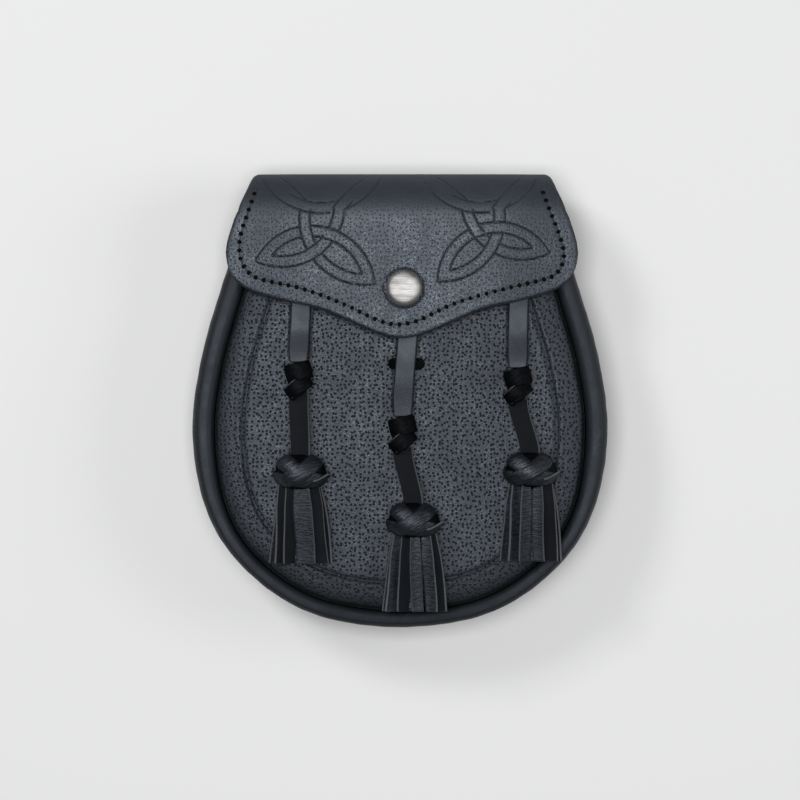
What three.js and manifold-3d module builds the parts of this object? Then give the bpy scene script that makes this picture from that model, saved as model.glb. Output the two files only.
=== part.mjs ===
// Black leather day sporran: a hollow pouch with rolled rims, a stippled front, a flap held by
// a press stud, three knotted tassels and two belt loops on its back.
// Millimetres. It lies on its back: X runs across, Y up towards the fold, Z out of the front.
// Heights named up are measured from the bottom of the pouch.
import * as THREE from 'three';
import { mergeVertices } from 'three/addons/utils/BufferGeometryUtils.js';
import Module from 'manifold-3d';

const wasm = await Module();
wasm.setup();

// Pouch
const pouchWidth = 175;
const overallHeight = 191.5;
const pouchDepth = 40;
const clearance = 0.3;
const gussetWall = 1.8;
const panelWall = 1.8;
const mouthGap = 3;

// Rolled rims along both edges of the gusset
const rimWidthSide = 9.2;
const rimWidthBottom = 6.7;
const rimRoll = 5.5;
const rimFlat = 1.6;
const frontSeamDrop = 4;
const gussetHollow = 1.2;

// Front panel: a moulded step follows its seam, and a shallow dome fills the middle
const stepInset = 12;
const stepRise = 4.2;
const domeRise = 2;
const slotLength = 15.5;
const slotHeight = 5;

// Flap
const flapWidth = 147.8;
const flapReach = 69.9;
const flapWall = 2.2;
const foldRise = 16.5;
const flapBackLap = 25;
const flapShift = 0.8;

// Press stud
const capRadius = 7.5;
const capHeight = 3.3;
const capEdge = 0.6;
const postRadius = 3;

// Belt loops
const loopWidth = 20;
const loopWall = 2.2;
const loopGap = 4.7;
const loopSpan = 26;
const loopFoot = 8;
const loopRamp = 6;
const loopSpacing = 80;

// Tassels
const strapWidth = 8.4;
const strapWall = 1.6;
const strapTuck = 12;
const knotWidth = 12.4;
const knotHeight = 17;
const knotDepth = 9;
const headWidth = 23;
const headHeight = 14.6;
const headDepth = 16;
const skirtLength = 30.5;
const skirtTopWidth = 18;
const skirtTipWidth = 27;
const skirtDepth = 9;
const stripWidth = 5.2;
const stripWall = 1.4;
const stripCount = 8;

// How finely curved things are cut into facets
const gussetStations = 40;
const panelStations = 32;
const flapColumns = 11;
const foldSteps = 8;
const frontSteps = 7;

// Places that follow from the sizes above
const foldFoot = overallHeight - foldRise;
const mouthHeight = foldFoot - mouthGap;
const backRecess = loopWall + loopGap;
const frontSeam = pouchDepth - frontSeamDrop;
const panelCrown = frontSeam + stepRise + domeRise;
const flapTop = panelCrown + clearance + strapWall + 2 * clearance + flapWall;
const flapDroop = flapTop - flapWall - pouchDepth - 2 * clearance;
const flapBack = backRecess - clearance - flapWall;

// Outer outline of the pouch, one side: shares of half its width and of the mouth's height.
const pouchOutline = [
  { across: 0.754, up: 1 },
  { across: 0.835, up: 0.874 },
  { across: 0.959, up: 0.655 },
  { across: 1, up: 0.478 },
  { across: 0.944, up: 0.303 },
  { across: 0.822, up: 0.185 },
  { across: 0.602, up: 0.081 },
  { across: 0.369, up: 0.0244 },
  { across: 0, up: 0 },
];

// The rim's width grows from its bottom value to its side value between these shares of height.
const rimBlend = { from: 0.06, to: 0.5 };

// Lower edge of the flap, one side: shares of half its width and of its reach below the fold.
const flapEdge = [
  { across: 0, drop: 1 },
  { across: 0.07, drop: 0.991 },
  { across: 0.185, drop: 0.9485 },
  { across: 0.41, drop: 0.845 },
  { across: 0.51, drop: 0.811 },
  { across: 0.64, drop: 0.783 },
  { across: 0.866, drop: 0.711 },
  { across: 0.952, drop: 0.645 },
  { across: 0.985, drop: 0.58 },
  { across: 1, drop: 0.486 },
];

// Half width of the flap along its length, as a share of its widest. Along is -1 at the back
// edge, 0 to 1 over the fold, and 2 at the widest place of the front.
const flapTaper = [
  { along: -1, half: 0.73 },
  { along: 0, half: 0.745 },
  { along: 0.5, half: 0.832 },
  { along: 0.78, half: 0.876 },
  { along: 1, half: 0.93 },
  { along: 1.4, half: 0.966 },
  { along: 2, half: 1 },
];

// Places on the front: shares of half the pouch's width and of the mouth's height.
const studPlace = { across: 0.0195, up: 0.829 };
const slotPlace = { across: 0.031, up: 0.645 };
const loopUpShare = 0.686;
const tassels = [
  { name: 'left', strap: -0.471, knot: -0.485, knotUp: 0.608, head: -0.474, headUp: 0.381, tip: -0.463 },
  { name: 'centre', strap: 0.041, knot: 0.012, knotUp: 0.476, head: 0.065, headUp: 0.264, tip: 0.079 },
  { name: 'right', strap: 0.57, knot: 0.563, knotUp: 0.594, head: 0.622, headUp: 0.386, tip: 0.637 },
];

// Girth of a knot and of a woven head along its axis, as shares of half its length and width.
const knotProfile = [
  { along: 1, girth: 0.66 },
  { along: 0.8, girth: 0.86 },
  { along: 0.45, girth: 0.98 },
  { along: 0.15, girth: 0.92 },
  { along: -0.15, girth: 0.92 },
  { along: -0.45, girth: 0.98 },
  { along: -0.8, girth: 0.86 },
  { along: -1, girth: 0.66 },
];
const headProfile = [
  { along: 1, girth: 0.52 },
  { along: 0.86, girth: 0.76 },
  { along: 0.55, girth: 0.94 },
  { along: 0.15, girth: 1 },
  { along: -0.25, girth: 0.99 },
  { along: -0.65, girth: 0.93 },
  { along: -0.9, girth: 0.82 },
  { along: -1, girth: 0.7 },
];

// A skirt strip from its root to its tip: how far along, and how far it has spread.
const stripCurve = [
  { along: 0, spread: 0 },
  { along: 0.3, spread: 0.42 },
  { along: 0.65, spread: 0.8 },
  { along: 1, spread: 1 },
];

/** Eases from 0 to 1 as the share does, level at both ends. */
function smooth(share) {
  const held = THREE.MathUtils.clamp(share, 0, 1);
  return held * held * (3 - 2 * held);
}

/** A smooth curve through a table's rows, read by one column and giving another. */
function tableCurve(rows, from, to) {
  const sorted = [...rows].sort((a, b) => a[from] - b[from]);
  const slopes = sorted.map((row, i) => {
    const before = sorted[Math.max(i - 1, 0)];
    const after = sorted[Math.min(i + 1, sorted.length - 1)];
    return (after[to] - before[to]) / (after[from] - before[from]);
  });
  return (value) => {
    const held = THREE.MathUtils.clamp(value, sorted[0][from], sorted[sorted.length - 1][from]);
    const next = Math.max(1, sorted.findIndex((row) => row[from] >= held));
    const low = sorted[next - 1];
    const high = sorted[next];
    const span = high[from] - low[from];
    const t = (held - low[from]) / span;
    const rise = high[to] - low[to];
    const bendLow = slopes[next - 1] * span - rise;
    const bendHigh = rise - slopes[next] * span;
    return low[to] + t * rise + t * (1 - t) * ((1 - t) * bendLow + t * bendHigh);
  };
}

/** A closed solid from corner points and triangles, with shared corners and its faces out. */
function solidFrom(points, triangles) {
  const geometry = new THREE.BufferGeometry();
  geometry.setAttribute('position', new THREE.Float32BufferAttribute(points.flatMap((p) => p.toArray()), 3));
  geometry.setIndex(triangles.flat());
  const merged = mergeVertices(geometry, 1e-3);
  const place = merged.attributes.position;
  const corner = (i) => new THREE.Vector3().fromBufferAttribute(place, i);
  const kept = [];
  let volume = 0;
  for (let i = 0; i < merged.index.count; i += 3) {
    const [a, b, c] = [0, 1, 2].map((k) => merged.index.getX(i + k));
    if (a === b || b === c || c === a) continue;
    kept.push([a, b, c]);
    volume += corner(a).dot(corner(b).cross(corner(c)));
  }
  const outward = volume > 0 ? kept : kept.map(([a, b, c]) => [a, c, b]);
  merged.setIndex(outward.flat());
  return merged;
}

/** The two triangles of a four-cornered face. */
function quad(a, b, c, d) {
  return [[a, b, c], [a, c, d]];
}

/** A solid through closed rings of equally many points, capped at both ends. */
function loftSolid(rings, capTriangles) {
  const count = rings[0].length;
  const fan = capTriangles ?? rings[0].slice(2).map((_, i) => [0, i + 1, i + 2]);
  const triangles = [];
  for (let r = 0; r + 1 < rings.length; r += 1) {
    for (let i = 0; i < count; i += 1) {
      const j = (i + 1) % count;
      triangles.push(...quad(r * count + i, (r + 1) * count + i, (r + 1) * count + j, r * count + j));
    }
  }
  const last = (rings.length - 1) * count;
  fan.forEach(([a, b, c]) => {
    triangles.push([a, b, c]);
    triangles.push([last + a, last + c, last + b]);
  });
  return solidFrom(rings.flat(), triangles);
}

/** A wall between two grids of points. A folded grid's last row meets itself, so it has no edge. */
function wallSolid(outer, inner, folded = false) {
  const rows = outer.length;
  const columns = outer[0].length;
  const points = [...outer.flat(), ...inner.flat()];
  const out = (r, c) => r * columns + c;
  const into = (r, c) => rows * columns + r * columns + c;
  const triangles = [];
  for (let r = 0; r + 1 < rows; r += 1) {
    for (let c = 0; c + 1 < columns; c += 1) {
      triangles.push(...quad(out(r, c), out(r, c + 1), out(r + 1, c + 1), out(r + 1, c)));
      triangles.push(...quad(into(r, c), into(r + 1, c), into(r + 1, c + 1), into(r, c + 1)));
    }
    const end = columns - 1;
    triangles.push(...quad(out(r, 0), out(r + 1, 0), into(r + 1, 0), into(r, 0)));
    triangles.push(...quad(out(r + 1, end), out(r, end), into(r, end), into(r + 1, end)));
  }
  for (let c = 0; c + 1 < columns; c += 1) {
    triangles.push(...quad(out(0, c + 1), out(0, c), into(0, c), into(0, c + 1)));
    if (!folded) {
      const last = rows - 1;
      triangles.push(...quad(out(last, c), out(last, c + 1), into(last, c + 1), into(last, c)));
    }
  }
  return solidFrom(points, triangles);
}

/** A geometry as a solid that can be cut and joined. */
function toSolid(geometry) {
  const bare = geometry.clone();
  bare.deleteAttribute('normal');
  bare.deleteAttribute('uv');
  const merged = mergeVertices(bare, 1e-4);
  return new wasm.Manifold(new wasm.Mesh({
    numProp: 3,
    vertProperties: new Float32Array(merged.attributes.position.array),
    triVerts: new Uint32Array(merged.index.array),
  }));
}

/** A cut or joined solid as a geometry again. */
function fromSolid(solid) {
  const mesh = solid.getMesh();
  const geometry = new THREE.BufferGeometry();
  geometry.setAttribute('position', new THREE.BufferAttribute(new Float32Array(mesh.vertProperties), 3));
  geometry.setIndex(new THREE.BufferAttribute(new Uint32Array(mesh.triVerts), 1));
  return geometry;
}

/** The pouch's outer outline from its left top corner round the bottom to its right top corner. */
const pouchLine = (() => {
  const right = pouchOutline.map(({ across, up }) => new THREE.Vector3(across * pouchWidth / 2, up * mouthHeight));
  const left = right.slice(0, -1).map((p) => new THREE.Vector3(-p.x, p.y));
  return new THREE.CatmullRomCurve3([...left, ...right.reverse()], false, 'centripetal');
})();

/** The rim's width at a height. */
function rimWidth(up) {
  const share = (up / mouthHeight - rimBlend.from) / (rimBlend.to - rimBlend.from);
  return THREE.MathUtils.lerp(rimWidthBottom, rimWidthSide, smooth(share));
}

/** Stations along the outline, mirrored left to right, each with its point, way in and rim. */
function outlineStations(count) {
  const left = [];
  for (let i = 0; i <= count / 2; i += 1) {
    const share = i / count;
    const point = pouchLine.getPointAt(share);
    const tangent = pouchLine.getTangentAt(share);
    left.push({ point, inward: new THREE.Vector3(-tangent.y, tangent.x), rim: rimWidth(point.y) });
  }
  const bottom = left[left.length - 1];
  bottom.point.setX(0);
  bottom.inward.set(0, 1, 0);
  const right = left.slice(0, -1).reverse().map(({ point, inward, rim }) => ({
    point: new THREE.Vector3(-point.x, point.y),
    inward: new THREE.Vector3(-inward.x, inward.y),
    rim,
  }));
  return [...left, ...right];
}

/** Where the panels' edges run, just inside the rims. */
function seamPoints(count) {
  return outlineStations(count).map(({ point, inward, rim }) => (
    point.clone().addScaledVector(inward, rim + clearance)
  ));
}

const fineSeam = seamPoints(240);
const centreUp = pouchOutline.find((row) => row.across === 1).up * mouthHeight;

/** Height of the front panel's face over a place inside its seam. */
function panelFace(x, up) {
  const edge = Math.min(...fineSeam.map((p) => Math.hypot(p.x - x, p.y - up)));
  const middle = Math.hypot(x, Math.min(up - centreUp, 0));
  const dome = smooth((edge - stepInset) / (edge + middle - stepInset));
  return frontSeam + stepRise * smooth(edge / stepInset) + domeRise * dome;
}

/** The highest that the pouch's front reaches under a rectangle, for what lies on it. */
function bedHeight(x, upLow, upHigh, width) {
  const shares = [0, 0.25, 0.5, 0.75, 1];
  const heights = shares.flatMap((s) => shares.map((t) => {
    const up = THREE.MathUtils.lerp(upLow, upHigh, t);
    return panelFace(x + width * (s - 0.5), up);
  }));
  return Math.max(pouchDepth, ...heights) + clearance;
}

/** Outer face of the gusset across its width, from the front seam to the back seam. */
function gussetFace(rim, steps) {
  const roll = (rim - rimFlat) / 2;
  const rimArc = (seamDrop) => {
    const points = [];
    for (let i = 0; i <= steps; i += 1) {
      const turn = (Math.PI / 2) * (1 - i / steps);
      const inward = rim - roll + roll * Math.sin(turn);
      points.push({ inward, fall: seamDrop * (1 - Math.cos(turn)) });
    }
    for (let i = 0; i <= steps; i += 1) {
      const turn = (Math.PI / 2) * (i / steps);
      points.push({ inward: roll * (1 - Math.sin(turn)), fall: rimRoll * (1 - Math.cos(turn)) });
    }
    return points;
  };
  const front = rimArc(frontSeamDrop).map(({ inward, fall }) => new THREE.Vector2(inward, pouchDepth - fall));
  const back = rimArc(backRecess).map(({ inward, fall }) => new THREE.Vector2(inward, fall)).reverse();
  return [...front, new THREE.Vector2(gussetHollow, pouchDepth / 2), ...back];
}

/** A line moved sideways by a wall, to the right of the way it runs. */
function offsetLine(points, wall) {
  return points.map((point, i) => {
    const before = points[Math.max(i - 1, 0)];
    const after = points[Math.min(i + 1, points.length - 1)];
    const along = after.clone().sub(before).normalize();
    return new THREE.Vector2(point.x + along.y * wall, point.y - along.x * wall);
  });
}

/** The gusset: one strip round the sides and bottom, rolled over at the front and the back. */
function gussetGeometry() {
  const section = (rim) => {
    const outside = gussetFace(rim, 3);
    const inside = offsetLine(gussetFace(rim, 2), -gussetWall);
    return [...outside, ...inside.reverse()];
  };
  const stations = outlineStations(gussetStations);
  const rings = stations.map(({ point, inward, rim }) => section(rim).map((p) => (
    new THREE.Vector3(point.x + inward.x * p.x, point.y + inward.y * p.x, p.y)
  )));
  const cap = THREE.ShapeUtils.triangulateShape(section(stations[0].rim), []);
  return loftSolid(rings, cap);
}

/** A horizontal slot with round ends, as a prism that passes right through the front. */
function slotCutter() {
  const half = (slotLength - slotHeight) / 2;
  const shape = new THREE.Shape();
  shape.absarc(half, 0, slotHeight / 2, -Math.PI / 2, Math.PI / 2);
  shape.absarc(-half, 0, slotHeight / 2, Math.PI / 2, Math.PI * 1.5);
  const prism = new THREE.ExtrudeGeometry(shape, { depth: pouchDepth, bevelEnabled: false, curveSegments: 5 });
  return prism.translate(slotPlace.across * pouchWidth / 2, slotPlace.up * mouthHeight, pouchDepth / 2);
}

/** The front panel: a domed wall inside the front rim, with the slot behind the middle strap. */
function frontPanelGeometry() {
  const seam = seamPoints(panelStations);
  const insetShares = [0, 0.045, 0.09, 0.135, 0.18, 0.32, 0.55, 0.8, 1];
  const place = (edge, share) => {
    const middle = new THREE.Vector3(0, Math.max(edge.y, centreUp));
    const spot = edge.clone().lerp(middle, share);
    return spot.setZ(share === 0 ? frontSeam : panelFace(spot.x, spot.y));
  };
  const outer = insetShares.map((share) => seam.map((edge) => place(edge, share)));
  const inner = outer.map((row) => row.map((p) => p.clone().setZ(p.z - panelWall)));
  const panel = toSolid(wallSolid(outer, inner, true));
  return fromSolid(panel.subtract(toSolid(slotCutter())));
}

/** The back panel: a flat sheet inside the back rim. */
function backPanelGeometry() {
  const shape = new THREE.Shape(seamPoints(panelStations).map((p) => new THREE.Vector2(p.x, p.y)));
  const sheet = new THREE.ExtrudeGeometry(shape, { depth: panelWall, bevelEnabled: false });
  return sheet.translate(0, 0, backRecess);
}

const flapDrop = tableCurve(flapEdge, 'across', 'drop');
const flapHalf = tableCurve(flapTaper, 'along', 'half');
const flapWidestUp = overallHeight - flapReach * flapEdge[flapEdge.length - 1].drop;

/** Height of the flap's lower edge at a share of its half width. */
function flapLowerEdge(across) {
  return overallHeight - flapReach * flapDrop(Math.abs(across));
}

/** The flap's rows from its back edge over the fold to its lower edge. */
function flapRows() {
  const back = [0, 1].map((share) => ({ part: 'back', share }));
  const fold = Array.from({ length: foldSteps }, (_, i) => ({ part: 'fold', share: (i + 1) / foldSteps }));
  const front = Array.from({ length: frontSteps }, (_, i) => ({ part: 'front', share: (i + 1) / frontSteps }));
  return [...back, ...fold, ...front];
}

/** A point of the flap's middle profile: its place along, its height and its share of the depth. */
function flapProfile({ part, share }, across) {
  if (part === 'back') {
    return { along: share - 1, up: foldFoot - flapBackLap * (1 - share), depth: 0 };
  }
  if (part === 'fold') {
    const turn = Math.PI * share;
    return { along: share, up: foldFoot + foldRise * Math.sin(turn), depth: (1 - Math.cos(turn)) / 2 };
  }
  const up = THREE.MathUtils.lerp(foldFoot, flapLowerEdge(across), share);
  const along = 1 + Math.min(1, (foldFoot - up) / (foldFoot - flapWidestUp));
  return { along, up, depth: 1 };
}

/** The way out of the flap at a row, in the plane of its profile. */
function flapOutward({ part, share }) {
  if (part === 'back') return new THREE.Vector3(0, 0, -1);
  if (part === 'front') return new THREE.Vector3(0, 0, 1);
  const turn = Math.PI * share;
  const depthHalf = (flapTop - flapBack) / 2;
  return new THREE.Vector3(0, Math.sin(turn) / foldRise, -Math.cos(turn) / depthHalf).normalize();
}

/** The flap: one wall sewn to the back, rolled over the mouth and down the front to its lobe. */
function flapGeometry() {
  const shares = [];
  for (let i = -flapColumns; i <= flapColumns; i += 1) {
    shares.push(Math.sin((i / flapColumns) * (Math.PI / 2)));
  }
  const outer = flapRows().map((row) => shares.map((across) => {
    const { along, up, depth } = flapProfile(row, across);
    const x = across * flapHalf(along) * flapWidth / 2;
    const sag = flapDroop * smooth(2 * Math.abs(x) / (flapWidth / 2) - 1);
    return new THREE.Vector3(x + flapShift, up, flapBack + depth * (flapTop - sag - flapBack));
  }));
  const inner = outer.map((points, i) => {
    const outward = flapOutward(flapRows()[i]);
    return points.map((p) => p.clone().addScaledVector(outward, -flapWall));
  });
  const hole = new THREE.CylinderGeometry(postRadius + clearance, postRadius + clearance, pouchDepth, 16);
  hole.rotateX(Math.PI / 2);
  hole.translate(studPlace.across * pouchWidth / 2, studPlace.up * mouthHeight, flapTop);
  return fromSolid(toSolid(wallSolid(outer, inner)).subtract(toSolid(hole)));
}

/** The press stud's domed cap, its flat underside at height 0. */
function capGeometry() {
  const profile = [new THREE.Vector2(0, 0), new THREE.Vector2(capRadius - capEdge / 2, 0)];
  profile.push(new THREE.Vector2(capRadius, capEdge));
  for (let i = 1; i <= 5; i += 1) {
    const turn = (Math.PI / 2) * (i / 5);
    const radius = i === 5 ? 0 : capRadius * Math.cos(turn);
    profile.push(new THREE.Vector2(radius, capEdge + (capHeight - capEdge) * Math.sin(turn)));
  }
  return new THREE.LatheGeometry(profile, 24).rotateX(Math.PI / 2);
}

/** A flat strap through centre points, its width across X. */
function strapGeometry(centres) {
  const rings = centres.map((p) => [
    new THREE.Vector3(p.x - strapWidth / 2, p.y, p.z - strapWall / 2),
    new THREE.Vector3(p.x + strapWidth / 2, p.y, p.z - strapWall / 2),
    new THREE.Vector3(p.x + strapWidth / 2, p.y, p.z + strapWall / 2),
    new THREE.Vector3(p.x - strapWidth / 2, p.y, p.z + strapWall / 2),
  ]);
  return loftSolid(rings);
}

/** A lump whose girth follows a table, with ridges that a relief function raises on it. */
function lumpGeometry({ width, height, depth, profile, sides, relief }) {
  const rings = profile.map(({ along, girth }) => {
    const ring = [];
    for (let i = 0; i < sides; i += 1) {
      const turn = (Math.PI * 2 * i) / sides;
      const reach = girth * relief(turn, along);
      ring.push(new THREE.Vector3(
        reach * Math.cos(turn) * width / 2,
        along * height / 2,
        reach * Math.sin(turn) * depth / 2,
      ));
    }
    return ring;
  });
  return loftSolid(rings);
}

/** An overhand knot: a bulge with one turn of the strap drawn slantwise round it. */
function knotGeometry() {
  const relief = (turn, along) => 0.88 + 0.12 * Math.exp(-(((along - 0.45 * Math.cos(turn)) / 0.3) ** 2));
  return lumpGeometry({
    width: knotWidth, height: knotHeight, depth: knotDepth, profile: knotProfile, sides: 14, relief,
  });
}

/** A woven head: a flattened ball whose plaited bands stand out as slanting lobes. */
function headGeometry() {
  const relief = (turn, along) => 0.965 + 0.035 * Math.cos(6 * turn + 2.2 * along);
  return lumpGeometry({
    width: headWidth, height: headHeight, depth: headDepth, profile: headProfile, sides: 18, relief,
  });
}

/** A skirt of leather strips spreading down from a short core, joined to it. */
function skirtGeometry(drift, bedDrop) {
  const coreDrop = skirtLength * 0.3;
  const ring = (share, reach) => Array.from({ length: 12 }, (_, i) => {
    const turn = (Math.PI * 2 * i) / 12;
    return new THREE.Vector3(
      drift * share + reach * Math.cos(turn) * (skirtTopWidth - stripWall) / 2,
      -skirtLength * share,
      reach * Math.sin(turn) * (skirtDepth - stripWall) / 2,
    );
  });
  let skirt = toSolid(loftSolid([ring(0, 1), ring(coreDrop / skirtLength, 0.9)]));
  for (let k = 0; k < stripCount; k += 1) {
    const turn = Math.PI * 2 * (k + 0.5) / stripCount + Math.PI / 2;
    const out = new THREE.Vector3(Math.cos(turn), 0, Math.sin(turn));
    const side = new THREE.Vector3(-Math.sin(turn) * skirtTopWidth, 0, Math.cos(turn) * skirtDepth).normalize();
    const rings = stripCurve.map(({ along, spread }) => {
      const half = THREE.MathUtils.lerp(skirtTopWidth, skirtTipWidth, spread) / 2 - stripWall;
      const centre = new THREE.Vector3(
        drift * along + out.x * half,
        -skirtLength * along,
        out.z * (skirtDepth / 2 - stripWall) - bedDrop * along,
      );
      const reach = side.clone().multiplyScalar(stripWidth / 2);
      const thick = new THREE.Vector3(side.z, 0, -side.x).multiplyScalar(stripWall / 2);
      return [
        centre.clone().sub(reach).sub(thick),
        centre.clone().add(reach).sub(thick),
        centre.clone().add(reach).add(thick),
        centre.clone().sub(reach).add(thick),
      ];
    });
    skirt = skirt.add(toSolid(loftSolid(rings)));
  }
  return fromSolid(skirt);
}

/** A belt loop: a strap whose feet lie on the back and whose middle stands off it. */
function loopGeometry() {
  const foot = backRecess - clearance - loopWall / 2;
  const bridge = loopWall / 2;
  const half = loopSpan / 2;
  const line = new THREE.Path();
  line.moveTo(-half - loopRamp - loopFoot, foot);
  line.lineTo(-half - loopRamp, foot);
  line.bezierCurveTo(-half - loopRamp / 2, foot, -half - loopRamp / 2, bridge, -half, bridge);
  line.lineTo(half, bridge);
  line.bezierCurveTo(half + loopRamp / 2, bridge, half + loopRamp / 2, foot, half + loopRamp, foot);
  line.lineTo(half + loopRamp + loopFoot, foot);
  const middle = line.getPoints(4);
  const sides = [...offsetLine(middle, loopWall / 2), ...offsetLine(middle, -loopWall / 2).reverse()];
  const shape = new THREE.Shape(sides);
  const strap = new THREE.ExtrudeGeometry(shape, { depth: loopWidth, bevelEnabled: false });
  return strap.translate(0, 0, -loopWidth / 2).applyMatrix4(new THREE.Matrix4().set(
    0, 0, 1, 0,
    1, 0, 0, 0,
    0, 1, 0, 0,
    0, 0, 0, 1,
  ));
}

// Finishes
const stippled = { color: 0x33363b, roughness: 0.62, metalness: 0 };
const grained = { color: 0x2f3237, roughness: 0.55, metalness: 0 };
const smoothHide = { color: 0x222428, roughness: 0.42, metalness: 0 };
const thong = { color: 0x25272b, roughness: 0.5, metalness: 0 };
const nickel = { color: 0xb9babc, roughness: 0.3, metalness: 1 };

/** A named piece with its own finish. */
function piece(name, geometry, finish) {
  const mesh = new THREE.Mesh(geometry, new THREE.MeshStandardMaterial(finish));
  mesh.name = name;
  geometry.computeVertexNormals();
  return mesh;
}

/** The press stud: the cap on the flap and the post from it down to the front panel. */
function pressStud() {
  const stud = new THREE.Group();
  const x = studPlace.across * pouchWidth / 2;
  const up = studPlace.up * mouthHeight;
  const cap = piece('snap_cap', capGeometry(), nickel);
  cap.position.set(x, up, flapTop + clearance);
  const low = panelFace(x, up) + clearance;
  const length = flapTop - low;
  const rod = new THREE.CylinderGeometry(postRadius, postRadius, length, 12).rotateX(Math.PI / 2);
  const post = piece('snap_post', rod, nickel);
  post.position.set(x, up, low + length / 2);
  stud.add(cap, post);
  return stud;
}

/** One tassel: strap, knot, strap, woven head and skirt, laid on the front from the flap down. */
function tassel(row) {
  const group = new THREE.Group();
  const halfWidth = pouchWidth / 2;
  const strapX = row.strap * halfWidth;
  const knotX = row.knot * halfWidth;
  const headX = row.head * halfWidth;
  const tipX = row.tip * halfWidth;
  const knotUp = row.knotUp * mouthHeight;
  const headUp = row.headUp * mouthHeight;
  const skirtUp = headUp - headHeight / 2 - clearance;
  const tipUp = skirtUp - skirtLength;
  const knotZ = bedHeight(knotX, knotUp - knotHeight / 2, knotUp + knotHeight / 2, knotWidth) + knotDepth / 2;
  const bed = bedHeight((headX + tipX) / 2, tipUp, headUp, skirtTipWidth);
  const headZ = bed + headDepth / 2;

  const strapTop = flapLowerEdge((strapX - flapShift) / (flapWidth / 2)) + strapTuck;
  const knotTop = knotUp + knotHeight / 2 + clearance;
  const upperCentres = [0, 0.2, 0.4, 0.6, 0.75, 0.9, 1].map((share) => {
    const x = THREE.MathUtils.lerp(strapX, knotX, smooth(share));
    const up = THREE.MathUtils.lerp(strapTop, knotTop, share);
    const lying = panelFace(x, up) + clearance + strapWall / 2;
    return new THREE.Vector3(x, up, THREE.MathUtils.lerp(lying, knotZ, smooth(2.5 * share - 1.5)));
  });
  group.add(piece(`${row.name}_strap_upper`, strapGeometry(upperCentres), thong));

  const knot = piece(`${row.name}_strap_knot`, knotGeometry(), thong);
  knot.position.set(knotX, knotUp, knotZ);
  group.add(knot);

  const lowerTop = knotUp - knotHeight / 2 - clearance;
  const lowerEnd = headUp + headHeight / 2 + clearance;
  const lowerCentres = [0, 0.25, 0.5, 0.75, 1].map((share) => new THREE.Vector3(
    THREE.MathUtils.lerp(knotX, headX, smooth(share)),
    THREE.MathUtils.lerp(lowerTop, lowerEnd, share),
    THREE.MathUtils.lerp(knotZ, headZ, smooth(share)),
  ));
  group.add(piece(`${row.name}_strap_lower`, strapGeometry(lowerCentres), thong));

  const head = piece(`${row.name}_tassel_head`, headGeometry(), thong);
  head.position.set(headX, headUp, headZ);
  group.add(head);

  const bedDrop = headZ - bed - skirtDepth / 2;
  const skirt = piece(`${row.name}_tassel_skirt`, skirtGeometry(tipX - headX, bedDrop), thong);
  skirt.position.set(headX, skirtUp, headZ);
  group.add(skirt);
  return group;
}

/** Both belt loops, side by side on the back. */
function beltLoops() {
  const pair = new THREE.Group();
  [['belt_loop_left', -1], ['belt_loop_right', 1]].forEach(([name, side]) => {
    const loop = piece(name, loopGeometry(), smoothHide);
    loop.position.set(side * loopSpacing / 2, loopUpShare * mouthHeight, 0);
    pair.add(loop);
  });
  return pair;
}

const group = new THREE.Group();
group.add(
  piece('gusset', gussetGeometry(), smoothHide),
  piece('front_panel', frontPanelGeometry(), stippled),
  piece('back_panel', backPanelGeometry(), smoothHide),
  piece('flap', flapGeometry(), grained),
  pressStud(),
  ...tassels.map(tassel),
  beltLoops(),
);
group.position.y = -overallHeight / 2;

export default group;
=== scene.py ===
"""A black leather day sporran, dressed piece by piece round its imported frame.

Sizes are millimetres and heights named up start at the bottom of the pouch, as a maker would
measure them. Whatever reaches Blender is in metres, in the frame's own place.
"""
import logging
import math
from collections.abc import Callable, Sequence
from dataclasses import dataclass
from enum import Enum

import bpy
import numpy as np
from mathutils import Matrix, Vector


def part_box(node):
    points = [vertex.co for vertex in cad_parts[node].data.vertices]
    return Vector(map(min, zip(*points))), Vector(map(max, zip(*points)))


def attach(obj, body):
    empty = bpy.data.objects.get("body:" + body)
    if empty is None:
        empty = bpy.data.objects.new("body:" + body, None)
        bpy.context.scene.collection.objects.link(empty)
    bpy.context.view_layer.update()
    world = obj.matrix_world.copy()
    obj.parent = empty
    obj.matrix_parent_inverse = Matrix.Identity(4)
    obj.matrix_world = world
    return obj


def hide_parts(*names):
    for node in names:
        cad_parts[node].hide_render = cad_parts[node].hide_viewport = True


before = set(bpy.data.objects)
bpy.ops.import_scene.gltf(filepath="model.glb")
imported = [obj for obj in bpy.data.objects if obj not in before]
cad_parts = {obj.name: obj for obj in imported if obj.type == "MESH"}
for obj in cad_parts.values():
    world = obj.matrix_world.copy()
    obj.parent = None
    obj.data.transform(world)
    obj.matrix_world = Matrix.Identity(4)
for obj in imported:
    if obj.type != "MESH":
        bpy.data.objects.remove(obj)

log = logging.getLogger("sporran")

MM = 0.001
MIDDLE_UP = 95.75
PIXEL = 0.42
PHOTO_BOTTOM = 628
PHOTO_MIDDLE = 400
CLEARANCE = 0.3
DYE_SHEEN = (0.78, 0.87, 1.0)
MATT = 0.85
CELL_DISORDER = 0.72
SMOOTH_ANGLE = math.radians(50)
WALL_EDGE = 0.3

Points = np.ndarray
Colour = Sequence[float]
Piece = bpy.types.Object
Socket = bpy.types.NodeSocket
Marks = tuple[Socket, Socket, Socket | None]
Place = Callable[[np.ndarray, np.ndarray], np.ndarray]


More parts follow.
